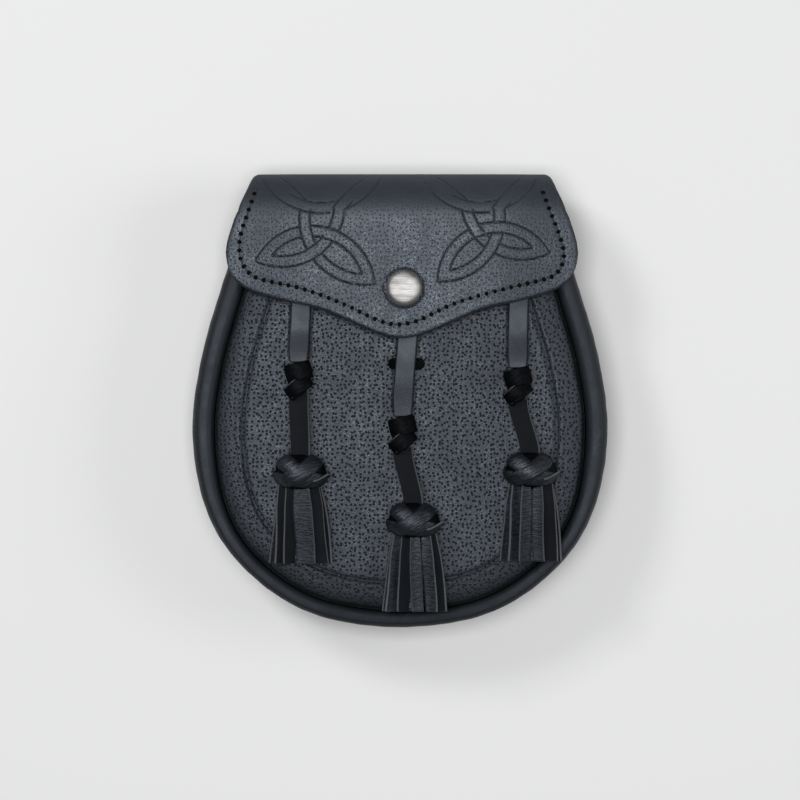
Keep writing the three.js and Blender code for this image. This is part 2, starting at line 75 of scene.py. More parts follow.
def framed(across: np.ndarray, up: np.ndarray, out: np.ndarray) -> Points:
    """Turns millimetres across, up and out into the frame's metres.

    Args:
        across: Distances to the right of the middle.
        up: Heights above the pouch's bottom.
        out: Distances out of the surface that it lies on.

    Returns:
        One row of X, Y, Z for each place.
    """
    places = (np.asarray(across, float), np.asarray(up, float) - MIDDLE_UP, out)
    return np.stack(np.broadcast_arrays(*places), axis=-1) * MM


def from_photo(*pixels: tuple[float, float]) -> Points:
    """Turns pixels of the photograph into millimetres across and up.

    Args:
        pixels: Places in the photograph's 800 by 800 frame.

    Returns:
        One row of across and up for each pixel.
    """
    spots = np.asarray(pixels, float)
    return np.stack([spots[:, 0] - PHOTO_MIDDLE, PHOTO_BOTTOM - spots[:, 1]], axis=-1) * PIXEL


def node_box(node: str) -> tuple[np.ndarray, np.ndarray]:
    """The lowest and highest corners of a CAD node in millimetres across, up and out."""
    low, high = (np.asarray(corner, float) / MM + (0, MIDDLE_UP, 0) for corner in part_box(node))
    return low, high


def smooth(share: np.ndarray | float) -> np.ndarray:
    """Eases from 0 to 1 as the share does, level at both ends."""
    held = np.clip(share, 0, 1)
    return held * held * (3 - 2 * held)


def blend(low: np.ndarray | float, high: np.ndarray | float, share: np.ndarray | float) -> np.ndarray:
    """The value a share of the way from low to high."""
    return np.asarray(low) + (np.asarray(high) - np.asarray(low)) * share


def along(path: Points, share: np.ndarray) -> Points:
    """Reads a path of evenly counted points at shares of its length.

    Args:
        path: One row for each point.
        share: Shares from 0 to 1.

    Returns:
        One row for each share.
    """
    step = np.clip(share, 0, 1) * (len(path) - 1)
    counts = np.arange(len(path))
    return np.stack([np.interp(step, counts, column) for column in np.asarray(path, float).T], axis=-1)


def smooth_line(points: Sequence[Sequence[float]], count: int) -> Points:
    """Draws a centripetal Catmull-Rom curve and cuts it into equal lengths.

    Args:
        points: The places that it passes through.
        count: How many points come back.

    Returns:
        The curve's points, the first and the last as given.
    """
    rows = np.asarray(points, float)
    padded = np.vstack([2 * rows[0] - rows[1], rows, 2 * rows[-1] - rows[-2]])
    t = np.linspace(0, 1, 40, endpoint=False)[:, None]
    stretches = []
    for four in zip(padded, padded[1:], padded[2:], padded[3:]):
        before, start, end, after = four
        d0, d1, d2 = (np.linalg.norm(b - a) ** 0.5 for a, b in zip(four, four[1:]))
        leave = d1 * ((start - before) / d0 - (end - before) / (d0 + d1) + (end - start) / d1)
        arrive = d1 * ((end - start) / d1 - (after - start) / (d1 + d2) + (after - end) / d2)
        rise = end - start
        square = 3 * rise - 2 * leave - arrive
        cube = leave + arrive - 2 * rise
        stretches.append(start + t * (leave + t * (square + t * cube)))
    line = np.vstack([*stretches, rows[-1:]])
    run = np.concatenate([[0], np.cumsum(np.linalg.norm(np.diff(line, axis=0), axis=1))])
    marks = np.linspace(0, run[-1], count)
    return np.stack([np.interp(marks, run, column) for column in line.T], axis=-1)


def table_curve(rows: Sequence[tuple[float, float]]) -> Callable[[np.ndarray], np.ndarray]:
    """A smooth curve through a table's rows.

    Args:
        rows: Pairs of a place and its value, places rising.

    Returns:
        A function that reads the curve, held level past both ends.
    """
    places, values = np.asarray(rows, float).T
    last = len(places) - 1
    after = np.minimum(np.arange(last + 1) + 1, last)
    before = np.maximum(np.arange(last + 1) - 1, 0)
    slopes = (values[after] - values[before]) / (places[after] - places[before])

    def read(place: np.ndarray) -> np.ndarray:
        """Reads the curve.

        Args:
            place: Where to read it.

        Returns:
            The table's value there.
        """
        held = np.clip(place, places[0], places[-1])
        low = np.clip(np.searchsorted(places, held) - 1, 0, last - 1)
        span = places[low + 1] - places[low]
        t = (held - places[low]) / span
        rise = values[low + 1] - values[low]
        bend_low = slopes[low] * span - rise
        bend_high = rise - slopes[low + 1] * span
        return values[low] + t * rise + t * (1 - t) * ((1 - t) * bend_low + t * bend_high)

    return read


def nearest(points: Points, line: Points) -> np.ndarray:
    """How far each point lies from the nearest point of a finely cut line.

    Args:
        points: One row of across and up for each point.
        line: The line's points.

    Returns:
        One distance for each point.
    """
    found = [np.hypot(*(block[:, None, :] - line[None]).transpose(2, 0, 1)).min(axis=1)
             for block in np.array_split(points, max(1, len(points) // 4000))]
    return np.concatenate(found)


# Making and finishing meshes


def activate(piece: Piece) -> None:
    """Selects one object alone and makes it active.

    Args:
        piece: The object.
    """
    bpy.ops.object.select_all(action="DESELECT")
    piece.select_set(True)
    bpy.context.view_layer.objects.active = piece


def edit(piece: Piece, *steps: Callable[[], object]) -> None:
    """Runs edit-mode steps on all of a piece's mesh.

    Args:
        piece: The object to edit.
        steps: Operators to run in order, everything selected before the first.
    """
    activate(piece)
    bpy.ops.object.mode_set(mode="EDIT")
    bpy.ops.mesh.select_all(action="SELECT")
    for step in steps:
        step()
    bpy.ops.object.mode_set(mode="OBJECT")


def modify(piece: Piece, kind: str, **settings: object) -> None:
    """Adds a modifier with its settings and applies it.

    Args:
        piece: The object that it works on.
        kind: Blender's name of the modifier's type.
        settings: Its settings.
    """
    activate(piece)
    modifier = piece.modifiers.new(kind.title(), kind)
    for key, value in settings.items():
        setattr(modifier, key, value)
    bpy.ops.object.modifier_apply(modifier=modifier.name)


def read_rows(things: bpy.types.bpy_prop_collection, kind: str) -> Points:
    """Reads a value of three numbers from each vertex or face.

    Args:
        things: The vertices or the faces.
        kind: The value's name.

    Returns:
        One row for each.
    """
    flat = np.empty(len(things) * 3)
    things.foreach_get(kind, flat)
    return flat.reshape(-1, 3)


def corners(piece: Piece) -> Points:
    """The places of a piece's vertices, one row each."""
    return read_rows(piece.data.vertices, "co")


def set_corners(piece: Piece, places: Points) -> None:
    """Moves a piece's vertices to new places."""
    piece.data.vertices.foreach_set("co", np.asarray(places, float).ravel())
    piece.data.update()


def tidy(piece: Piece, towards: Sequence[float] | None = None) -> None:
    """Merges doubled corners and makes an open sheet's faces point one way.

    Args:
        piece: The sheet.
        towards: The way its faces point on the whole, or nothing to leave that open.
    """
    edit(
        piece,
        lambda: bpy.ops.mesh.remove_doubles(threshold=2e-6),
        lambda: bpy.ops.mesh.normals_make_consistent(inside=False),
    )
    if towards is None:
        return
    if (read_rows(piece.data.polygons, "normal") @ np.asarray(towards, float)).sum() < 0:
        edit(piece, bpy.ops.mesh.flip_normals)


def face_away(piece: Piece, middle: Points) -> None:
    """Makes the faces of a sheet that goes round a middle point away from it.

    Args:
        piece: The sheet.
        middle: The middle in millimetres across, up and out.
    """
    normals = read_rows(piece.data.polygons, "normal")
    away = read_rows(piece.data.polygons, "center") - framed(*middle)
    if (normals * away).sum() < 0:
        edit(piece, bpy.ops.mesh.flip_normals)


def add_primitive(operator: Callable[..., object], **settings: object) -> Piece:
    """Adds a mesh primitive at the origin with nothing else selected.

    Args:
        operator: Blender's operator for it.
        settings: The operator's settings.

    Returns:
        The new object.
    """
    bpy.ops.object.select_all(action="DESELECT")
    operator(location=(0, 0, 0), **settings)
    return bpy.context.active_object


def soften(piece: Piece) -> None:
    """Shades a piece smooth, apart from its sharp edges."""
    activate(piece)
    bpy.ops.object.shade_smooth_by_angle(angle=SMOOTH_ANGLE)


def sheet(name: str, rows: int, columns: int, place: Place) -> Piece:
    """Adds a grid and lays it on a surface.

    Args:
        name: The object's name.
        rows: Cells along it.
        columns: Cells across it.
        place: Gives the frame's metres for shares across and along.

    Returns:
        The sheet, with no thickness yet.
    """
    grid = bpy.ops.mesh.primitive_grid_add
    piece = add_primitive(grid, x_subdivisions=columns, y_subdivisions=rows, size=2)
    piece.name = name
    flat = corners(piece)
    set_corners(piece, place((flat[:, 0] + 1) / 2, (flat[:, 1] + 1) / 2))
    return piece


def round_edges(piece: Piece, radius: float, angle: float) -> None:
    """Rounds a piece's sharp edges and shades it smooth.

    Args:
        piece: The piece.
        radius: The edges' radius in millimetres.
        angle: From how many degrees on an edge is sharp.
    """
    limit = math.radians(angle)
    modify(piece, "BEVEL", width=radius * MM, segments=2, limit_method="ANGLE", angle_limit=limit)
    soften(piece)


def thicken(piece: Piece, wall: float, offset: float, edge: float, rim_slot: int = 0) -> None:
    """Gives a sheet its wall and rounds the wall's edges.

    Args:
        piece: The sheet.
        wall: Thickness in millimetres.
        offset: Minus 1 to grow behind the sheet, 0 to both sides.
        edge: Radius of the rounded edges in millimetres.
        rim_slot: How many material slots further the cut edge's finish is.
    """
    modify(piece, "SOLIDIFY", thickness=wall * MM, offset=offset, material_offset_rim=rim_slot)
    round_edges(piece, edge, 55)


def join(name: str, parts: Sequence[Piece]) -> Piece:
    """Joins objects into one and names it.

    Args:
        name: The joined object's name.
        parts: The objects, the first of which is kept.

    Returns:
        The joined object.
    """
    bpy.ops.object.select_all(action="DESELECT")
    for part in parts:
        part.select_set(True)
    bpy.context.view_layer.objects.active = parts[0]
    if len(parts) > 1:
        bpy.ops.object.join()
    parts[0].name = name
    return parts[0]


def mark(piece: Piece, lines: np.ndarray) -> None:
    """Keeps a piece's painted shade, a value for each vertex: in its pressed lines, creases and seams,
    beside its edges, and its painted shadows.
    """
    layer = piece.data.attributes.new("pressed", "FLOAT", "POINT")
    layer.data.foreach_set("value", np.asarray(lines, np.float32))


def dress(piece: Piece, replaced: Sequence[str] = ()) -> None:
    """Tells the frame what a finished piece is.

    Args:
        piece: The piece.
        replaced: CAD nodes that it stands for.
    """
    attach(piece, "root")
    if replaced:
        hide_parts(*replaced)
    faces = sum(len(polygon.vertices) - 2 for polygon in piece.data.polygons)
    log.info("%s: %d triangles", piece.name, faces)


# Finishes


class Grain(Enum):
    """How a leather's surface is marked."""

    STIPPLED = "pressed with small pits"
    PEBBLED = "fine grain, worn smooth over the fold"
    SMOOTH = "smooth with soft creases"
    SCALED = "fine cross wrinkles"
    STREAKED = "slanting streaks"
    FLESH = "dull fibres"
    CUT = "bare cut edge"


class Desk:
    """A material's node tree with short ways to fill it."""

    def __init__(self, name: str) -> None:
        """Starts a material with its shader.

        Args:
            name: The material's name.
        """
        self.material = bpy.data.materials.new(name)
        self.material.use_nodes = True
        self.nodes = self.material.node_tree.nodes
        self.links = self.material.node_tree.links
        self.shader = self.nodes["Principled BSDF"]
        self.place = self.nodes.new("ShaderNodeTexCoord").outputs["Object"]

    def add(
        self, kind: str, inputs: dict[str | int, object] | None = None, **settings: object,
    ) -> bpy.types.Node:
        """Adds a node.

        Args:
            kind: Blender's name of the node's type.
            inputs: Values for its sockets, or other sockets to link to them.
            settings: Its own settings.

        Returns:
            The new node.
        """
        node = self.nodes.new(kind)
        for key, value in settings.items():
            setattr(node, key, value)
        for key, value in (inputs or {}).items():
            if isinstance(value, Socket):
                self.links.new(value, node.inputs[key])
            else:
                node.inputs[key].default_value = value
        return node

    def noise(
        self, size: float, detail: float = 3, stretch: Sequence[float] = (1, 1, 1), turn: float = 0.0,
    ) -> Socket:
        """Cloudy noise.

        Args:
            size: What a cloud measures in millimetres.
            detail: How finely it is broken up.
            stretch: How many times closer the clouds lie along each axis.
            turn: How far those axes are turned about Z, in radians.

        Returns:
            A value that swings about 0.5.
        """
        place = self.place
        if turn:
            place = self.add("ShaderNodeMapping", {"Vector": place, "Rotation": (0, 0, -turn)}).outputs[0]
        spot = self.add("ShaderNodeMapping", {"Vector": place, "Scale": stretch}).outputs[0]
        inputs = {"Vector": spot, "Scale": 1 / (size * MM), "Detail": detail}
        return self.add("ShaderNodeTexNoise", inputs).outputs["Fac"]

    def cells(self, size: float) -> Socket:
        """Distance from the middle of cells that lie in a loose grid.

        Args:
            size: What a cell measures in millimetres.

        Returns:
            The distance as a share of that size.
        """
        inputs = {"Vector": self.place, "Scale": 1 / (size * MM), "Randomness": CELL_DISORDER}
        node = self.add("ShaderNodeTexVoronoi", inputs, feature="F1", voronoi_dimensions="2D")
        return node.outputs["Distance"]

    def ramp(self, value: Socket, start: float, end: float, low: float, high: float) -> Socket:
        """Maps a value smoothly from one range to another and holds it there.

        Args:
            value: The value.
            start: Where its range begins.
            end: Where its range ends.
            low: What the beginning becomes.
            high: What the end becomes.

        Returns:
            The mapped value.
        """
        inputs = {"Value": value, "From Min": start, "From Max": end, "To Min": low, "To Max": high}
        node = self.add("ShaderNodeMapRange", inputs, interpolation_type="SMOOTHSTEP")
        return node.outputs["Result"]

    def math(self, kind: str, first: object, second: object) -> Socket:
        """Joins two values with one operation."""
        return self.add("ShaderNodeMath", {0: first, 1: second}, operation=kind).outputs[0]

    def mix(self, share: Socket, low: Socket | Colour, high: Socket | Colour) -> Socket:
        """Mixes two colours.

        Args:
            share: How much of the second there is.
            low: The first colour, or a socket that gives it.
            high: The second colour, or a socket that gives it.

        Returns:
            The mixed colour.
        """
        pair = {}
        for index, colour in ((6, low), (7, high)):
            pair[index] = colour if isinstance(colour, Socket) else (*colour, 1)
        return self.add("ShaderNodeMix", {0: share, **pair}, data_type="RGBA").outputs[2]

    def bump(self, height: Socket, depth: float, under: Socket | None = None) -> Socket:
        """Turns a height into a bent normal.

        Args:
            height: The height from 0 to 1.
            depth: What 1 stands for, in millimetres.
            under: Another bent normal that it lies on.

        Returns:
            The bent normal.
        """
        inputs = {"Height": height, "Strength": 1.0, "Distance": depth * MM}
        if under is not None:
            inputs["Normal"] = under
        return self.add("ShaderNodeBump", inputs).outputs[0]

    def below(self, start: float, end: float) -> Socket:
        """Rises from 0 at one height in millimetres to 1 at a lower one."""
        high = self.add("ShaderNodeSeparateXYZ", {0: self.place}).outputs["Y"]
        return self.ramp(high, (end - MIDDLE_UP) * MM, (start - MIDDLE_UP) * MM, 1, 0)

    def connect(self, **sockets: Socket) -> bpy.types.Material:
        """Links sockets to the shader.

        Args:
            sockets: The colour, roughness and normal to link.

        Returns:
            The finished material.
        """
        names = {"colour": "Base Color", "roughness": "Roughness", "normal": "Normal"}
        for key, socket in sockets.items():
            self.links.new(socket, self.shader.inputs[names[key]])
        return self.material


def shade(colour: Sequence[float], factor: float) -> tuple[float, ...]:
    """A colour made lighter or darker by a factor."""
    return tuple(part * factor for part in colour)


@dataclass(frozen=True)
class Leather:
    """One leather finish, dyed black in its own shade."""

    name: str
    colour: tuple[float, float, float]
    roughness: float
    grain: Grain
    specular: float = 0.5
    # Whether the finish is darkened by the painted shade kept in the pressed attribute.
    pressed: bool = False

    def material(self) -> bpy.types.Material:
        """Makes the finish.

        Returns:
            Its node material.
        """
        desk = Desk(self.name)
        desk.shader.inputs["Specular IOR Level"].default_value = self.specular
        desk.shader.inputs["Specular Tint"].default_value = (*DYE_SHEEN, 1)
        clouds = desk.ramp(desk.noise(26), 0.3, 0.7, 0, 1)
        tint = desk.mix(clouds, shade(self.colour, 0.82), shade(self.colour, 1.16))
        rough = desk.ramp(desk.noise(9, 4), 0.3, 0.7, self.roughness - 0.05, self.roughness + 0.06)
        # Painted shade: stippled and smooth leather darkens and dulls towards the pouch's foot, where the
        # light falls off.
        if self.grain in (Grain.STIPPLED, Grain.SMOOTH):
            low = desk.below(46, 4)
            tint = desk.mix(low, tint, shade(self.colour, 0.35))
            rough = desk.math("ADD", rough, desk.math("MULTIPLY", low, 0.16))
        marks = {
            Grain.STIPPLED: self.stippled,
            Grain.PEBBLED: self.pebbled,
            Grain.SMOOTH: self.creased,
            Grain.SCALED: self.scaled,
            Grain.STREAKED: self.streaked,
            Grain.FLESH: self.fibrous,
            Grain.CUT: self.fibrous,
        }[self.grain]
        tint, normal, dull = marks(desk, tint)
        if dull is not None:
            rough = desk.math("MAXIMUM", rough, desk.math("MULTIPLY", dull, MATT))
        # Painted shade: the pressed attribute darkens and dulls the colour in grooves, creases and seams,
        # along edges and in painted shadows.
        if self.pressed:
            line = desk.add("ShaderNodeAttribute", attribute_name="pressed").outputs["Fac"]
            dark = desk.ramp(line, 0.45, 1, 0, 0.8)
            tint = desk.mix(dark, tint, shade(self.colour, 0.1))
            rough = desk.math("MAXIMUM", rough, dark)
            normal = desk.bump(desk.ramp(line, 0.3, 0.95, 1, 0), 0.26, normal)
        return desk.connect(colour=tint, roughness=rough, normal=normal)

    def stippled(self, desk: Desk, tint: Socket) -> Marks:
        """Small dark pits about 2 mm apart, on a fine rough grain.

        Args:
            desk: The material's nodes.
            tint: The leather's colour so far.

        Returns:
            The marked colour, the bent normal, and how dull it is where that matters.
        """
        pits = desk.ramp(desk.cells(1.95), 0.16, 0.29, 0, 1)
        rough = desk.ramp(desk.noise(0.8, 2), 0.34, 0.62, 0, 1)
        height = desk.math("ADD", pits, desk.math("MULTIPLY", rough, 0.55))
        ground = desk.mix(rough, shade(self.colour, 0.55), tint)
        dull = desk.math("SUBTRACT", 1.0, pits)
        return desk.mix(pits, shade(self.colour, 0.07), ground), desk.bump(height, 0.17), dull

    def pebbled(self, desk: Desk, tint: Socket) -> Marks:
        """A finer, shallower grain that dies away where the leather rolls over the mouth.

        Args:
            desk: The material's nodes.
            tint: The leather's colour so far.

        Returns:
            The marked colour, the bent normal, and how dull it is where that matters.
        """
        kept = desk.math("MAXIMUM", desk.below(188, 156), 0.1)
        pits = desk.ramp(desk.cells(1.75), 0.12, 0.25, 0, 1)
        rough = desk.ramp(desk.noise(0.8, 2), 0.34, 0.62, 0, 1)
        grain = desk.math("ADD", pits, desk.math("MULTIPLY", rough, 0.7))
        marked = desk.mix(pits, shade(self.colour, 0.2), desk.mix(rough, shade(self.colour, 0.65), tint))
        # Over the fold the grain is worn smooth; its darker colour there is painted shade.
        patches = desk.ramp(desk.noise(12, 2), 0.35, 0.65, 0, 1)
        worn = desk.mix(patches, shade(self.colour, 0.45), shade(self.colour, 0.6))
        dull = desk.math("SUBTRACT", 1.0, desk.math("MULTIPLY", kept, desk.ramp(pits, 0, 1, 0.5, 1)))
        return desk.mix(kept, worn, marked), desk.bump(desk.math("MULTIPLY", grain, kept), 0.12), dull

    def creased(self, desk: Desk, tint: Socket) -> Marks:
        """Soft creases and pores of a smooth hide.

        Args:
            desk: The material's nodes.
            tint: The leather's colour so far.

        Returns:
            The marked colour, the bent normal, and how dull it is where that matters.
        """
        creases = desk.noise(3.5, 4)
        pores = desk.noise(0.7, 3)
        tint = desk.mix(desk.ramp(pores, 0.3, 0.7, 0, 1), shade(self.colour, 0.6), tint)
        normal = desk.bump(creases, 0.12, desk.bump(pores, 0.13))
        return desk.mix(creases, shade(self.colour, 0.75), tint), normal, None

    def scaled(self, desk: Desk, tint: Socket) -> Marks:
        """Fine wrinkles across a thong that has been pulled and bent."""
        wrinkles = desk.ramp(desk.noise(1.6, 3, (0.45, 2.2, 0.6)), 0.36, 0.6, 0, 1)
        return desk.mix(wrinkles, shade(self.colour, 0.4), tint), desk.bump(wrinkles, 0.16), None

    def streaked(self, desk: Desk, tint: Socket) -> Marks:
        """Fine slanting streaks of leather that was pulled tight in the weave.

        Args:
            desk: The material's nodes.
            tint: The leather's colour so far.

        Returns:
            The marked colour, the bent normal, and how dull it is where that matters.
        """
        streaks = desk.ramp(desk.noise(1.7, 4, (0.22, 2.6, 1), 0.5), 0.32, 0.62, 0, 1)
        folds = desk.bump(desk.noise(3.0, 2, (0.5, 1.4, 1), 0.5), 0.5)
        return desk.mix(streaks, shade(self.colour, 0.35), tint), desk.bump(streaks, 0.1, folds), None

    def fibrous(self, desk: Desk, tint: Socket) -> Marks:
        """Dull fibres of the flesh side or of a cut edge."""
        fibres = desk.noise(0.8, 5, (1.6, 0.7, 1.6))
        return desk.mix(fibres, shade(self.colour, 0.6), tint), desk.bump(fibres, 0.12), None


STIPPLED = Leather("stippled hide", (0.03, 0.034, 0.041), 0.44, Grain.STIPPLED, 0.43, pressed=True)
FLAP_HIDE = Leather("flap hide", (0.034, 0.04, 0.05), 0.41, Grain.PEBBLED, 0.56, pressed=True)
SMOOTH_HIDE = Leather("smooth hide", (0.016, 0.018, 0.022), 0.52, Grain.SMOOTH, 0.28, pressed=True)
THONG = Leather("thong grain side", (0.031, 0.035, 0.042), 0.5, Grain.SMOOTH, 0.42, pressed=True)
WOVEN_THONG = Leather("woven thong", (0.0095, 0.011, 0.0135), 0.4, Grain.STREAKED, 0.46, pressed=True)
DARK_THONG = Leather("knotted thong", (0.0022, 0.0024, 0.003), 0.5, Grain.STREAKED, 0.06)
WRINKLED_THONG = Leather("thong with cross wrinkles", (0.015, 0.0175, 0.021), 0.45, Grain.SCALED, 0.38)
THONG_FLESH = Leather("thong flesh side", (0.0075, 0.0085, 0.01), 0.85, Grain.FLESH, 0.15)
KNOT_EDGE = Leather("knot cut edge", (0.012, 0.013, 0.015), 0.8, Grain.CUT, 0.15)
CUT_EDGE = Leather("thong cut edge", (0.1, 0.106, 0.116), 0.8, Grain.CUT, 0.25)


@dataclass(frozen=True)
class Thread:
    """Waxed black sewing thread."""

    name: str = "waxed thread"
    colour: tuple[float, float, float] = (0.017, 0.019, 0.023)
    roughness: float = 0.6
    specular: float = 0.35

    def material(self) -> bpy.types.Material:
        """Makes the thread's finish, with the twist of its strands.

        Returns:
            Its node material.
        """
        desk = Desk(self.name)
        desk.shader.inputs["Roughness"].default_value = self.roughness
        desk.shader.inputs["Specular IOR Level"].default_value = self.specular
        twist = desk.noise(0.35, 2, (1, 1.8, 1))
        colour = desk.mix(twist, shade(self.colour, 0.5), shade(self.colour, 2))
        return desk.connect(colour=colour, normal=desk.bump(twist, 0.08))


THREAD = Thread()
# Nearly black, dull thread for the dots between stitches: thread in its hole, painted as the hole's shade.
SHADED_HOLE_THREAD = Thread("thread in its hole", (0.0025, 0.0025, 0.003), 0.85, 0.05)


@dataclass(frozen=True)
class Nickel:
    """Satin nickel plate, brushed along X."""

    name: str = "satin nickel"
    colour: tuple[float, float, float] = (0.45, 0.44, 0.435)
    roughness: float = 0.58

    def material(self) -> bpy.types.Material:
        """Makes the plate's finish.

        Returns:
            Its node material.
        """
        desk = Desk(self.name)
        desk.shader.inputs["Metallic"].default_value = 1.0
        brushed = desk.noise(0.5, 3, (0.08, 1.5, 1))
        bands = desk.noise(2.6, 1, (0.12, 1, 1))
        cloud = desk.math("MULTIPLY", desk.noise(4, 2), 0.3)
        # Painted reflection: the plate's colour darkens in bands along X, standing in for the brushed cap's
        # reflections.
        streaks = desk.math("ADD", desk.math("MULTIPLY", bands, 0.7), cloud)
        painted_reflection = desk.ramp(streaks, 0.35, 0.6, 0, 1)
        rough = desk.ramp(brushed, 0.3, 0.7, self.roughness - 0.04, self.roughness + 0.08)
        normal = desk.bump(brushed, 0.004, desk.bump(bands, 0.16))
        colour = desk.mix(painted_reflection, shade(self.colour, 0.62), self.colour)
        return desk.connect(colour=colour, roughness=rough, normal=normal)


@dataclass(frozen=True)
class Paper:
    """The pale studio floor."""

    name: str = "pale floor"
    colour: tuple[float, float, float] = (0.765, 0.765, 0.765)

    def material(self) -> bpy.types.Material:
        """Makes the floor's finish.

        Returns:
            Its node material.
        """
        desk = Desk(self.name)
        desk.shader.inputs["Roughness"].default_value = 0.9
        desk.shader.inputs["Specular IOR Level"].default_value = 0.1
        return desk.connect(colour=desk.mix(desk.noise(400, 2), shade(self.colour, 0.985), self.colour))


class Finishes:
    """Each finish's material, made once."""

    def __init__(self) -> None:
        """Makes every material."""
        kinds = (STIPPLED, FLAP_HIDE, SMOOTH_HIDE, THONG, WOVEN_THONG, DARK_THONG, WRINKLED_THONG,
                 THONG_FLESH, KNOT_EDGE, CUT_EDGE)
        others = (THREAD, SHADED_HOLE_THREAD, Nickel(), Paper())
        self.materials = {kind.name: kind.material() for kind in (*kinds, *others)}

    def put(self, piece: Piece, *kinds: Leather | Thread | Nickel | Paper) -> None:
        """Gives a piece its finishes, one slot each.

        Args:
            piece: The piece.
            kinds: Its finishes in the order of its slots.
        """
        piece.data.materials.clear()
        for kind in kinds:
            piece.data.materials.append(self.materials[kind.name])


# The pouch


class PouchForm:
    """The pouch's outline, rims and domed face, which every piece is set against."""

    HALF_WIDTH = 87.5
    MOUTH_UP = 172.0
    DEPTH = 40.0
    CENTRE_UP = 82.2
    RIM_BOTTOM = 6.7
    RIM_SIDE = 9.2
    SEAM_DROP = 4.0
    STEP_INSET = 12.0
    STEP_CURVE = 3.0
    STEP_RISE = 4.2
    DOME_RISE = 2.0
    STRAP_WIDTH = 8.4
    STRAP_TUCK = 12.0
    STRAPS = (("left", -0.471), ("centre", 0.041), ("right", 0.57))
    OUTLINE = (
        (0.754, 1), (0.835, 0.874), (0.959, 0.655), (1, 0.478), (0.944, 0.303),
        (0.822, 0.185), (0.602, 0.081), (0.369, 0.0244), (0, 0),
    )

    def __init__(self) -> None:
        """Draws the outline and the front panel's seam once."""
        right = np.asarray(self.OUTLINE) * (self.HALF_WIDTH, self.MOUTH_UP)
        left = right[:-1] * (-1, 1)
        self.line = smooth_line(np.vstack([left, right[::-1]]), 961)
        ways = np.gradient(self.line, axis=0)
        ways /= np.linalg.norm(ways, axis=1)[:, None]
        self.inward = np.stack([-ways[:, 1], ways[:, 0]], axis=-1)
        growth = smooth((self.line[:, 1] / self.MOUTH_UP - 0.06) / 0.44)
        self.rim = blend(self.RIM_BOTTOM, self.RIM_SIDE, growth)
        self.seam = self.line + self.inward * (self.rim + CLEARANCE)[:, None]

    def face(self, across: np.ndarray, up: np.ndarray) -> np.ndarray:
        """How far the front panel stands out at places inside its seam.

        Args:
            across: Distances to the right of the middle.
            up: Heights above the bottom.

        Returns:
            One distance out for each place.
        """
        across, up = np.broadcast_arrays(np.asarray(across, float), np.asarray(up, float))
        spots = np.stack([across.ravel(), up.ravel()], axis=-1)
        edge = nearest(spots, self.seam[::4]).reshape(across.shape)
        middle = np.hypot(across, np.minimum(up - self.CENTRE_UP, 0))
        dome = smooth((edge - self.STEP_INSET) / np.maximum(edge + middle - self.STEP_INSET, 0.01))
        seam_out = self.DEPTH - self.SEAM_DROP
        step = 1 - (1 - np.clip(edge / self.STEP_INSET, 0, 1)) ** self.STEP_CURVE
        return seam_out + self.STEP_RISE * step + self.DOME_RISE * dome

    def inside(self, share_round: np.ndarray, share_in: np.ndarray) -> Points:
        """Finds places inside the seam.

        Args:
            share_round: Shares of the way round the seam.
            share_in: Shares of the way from it to the pouch's middle line.

        Returns:
            One row of across and up for each place.
        """
        edge = along(self.seam, share_round)
        middle_up = np.maximum(edge[:, 1], self.CENTRE_UP)
        return np.stack([edge[:, 0] * (1 - share_in), blend(edge[:, 1], middle_up, share_in)], axis=-1)


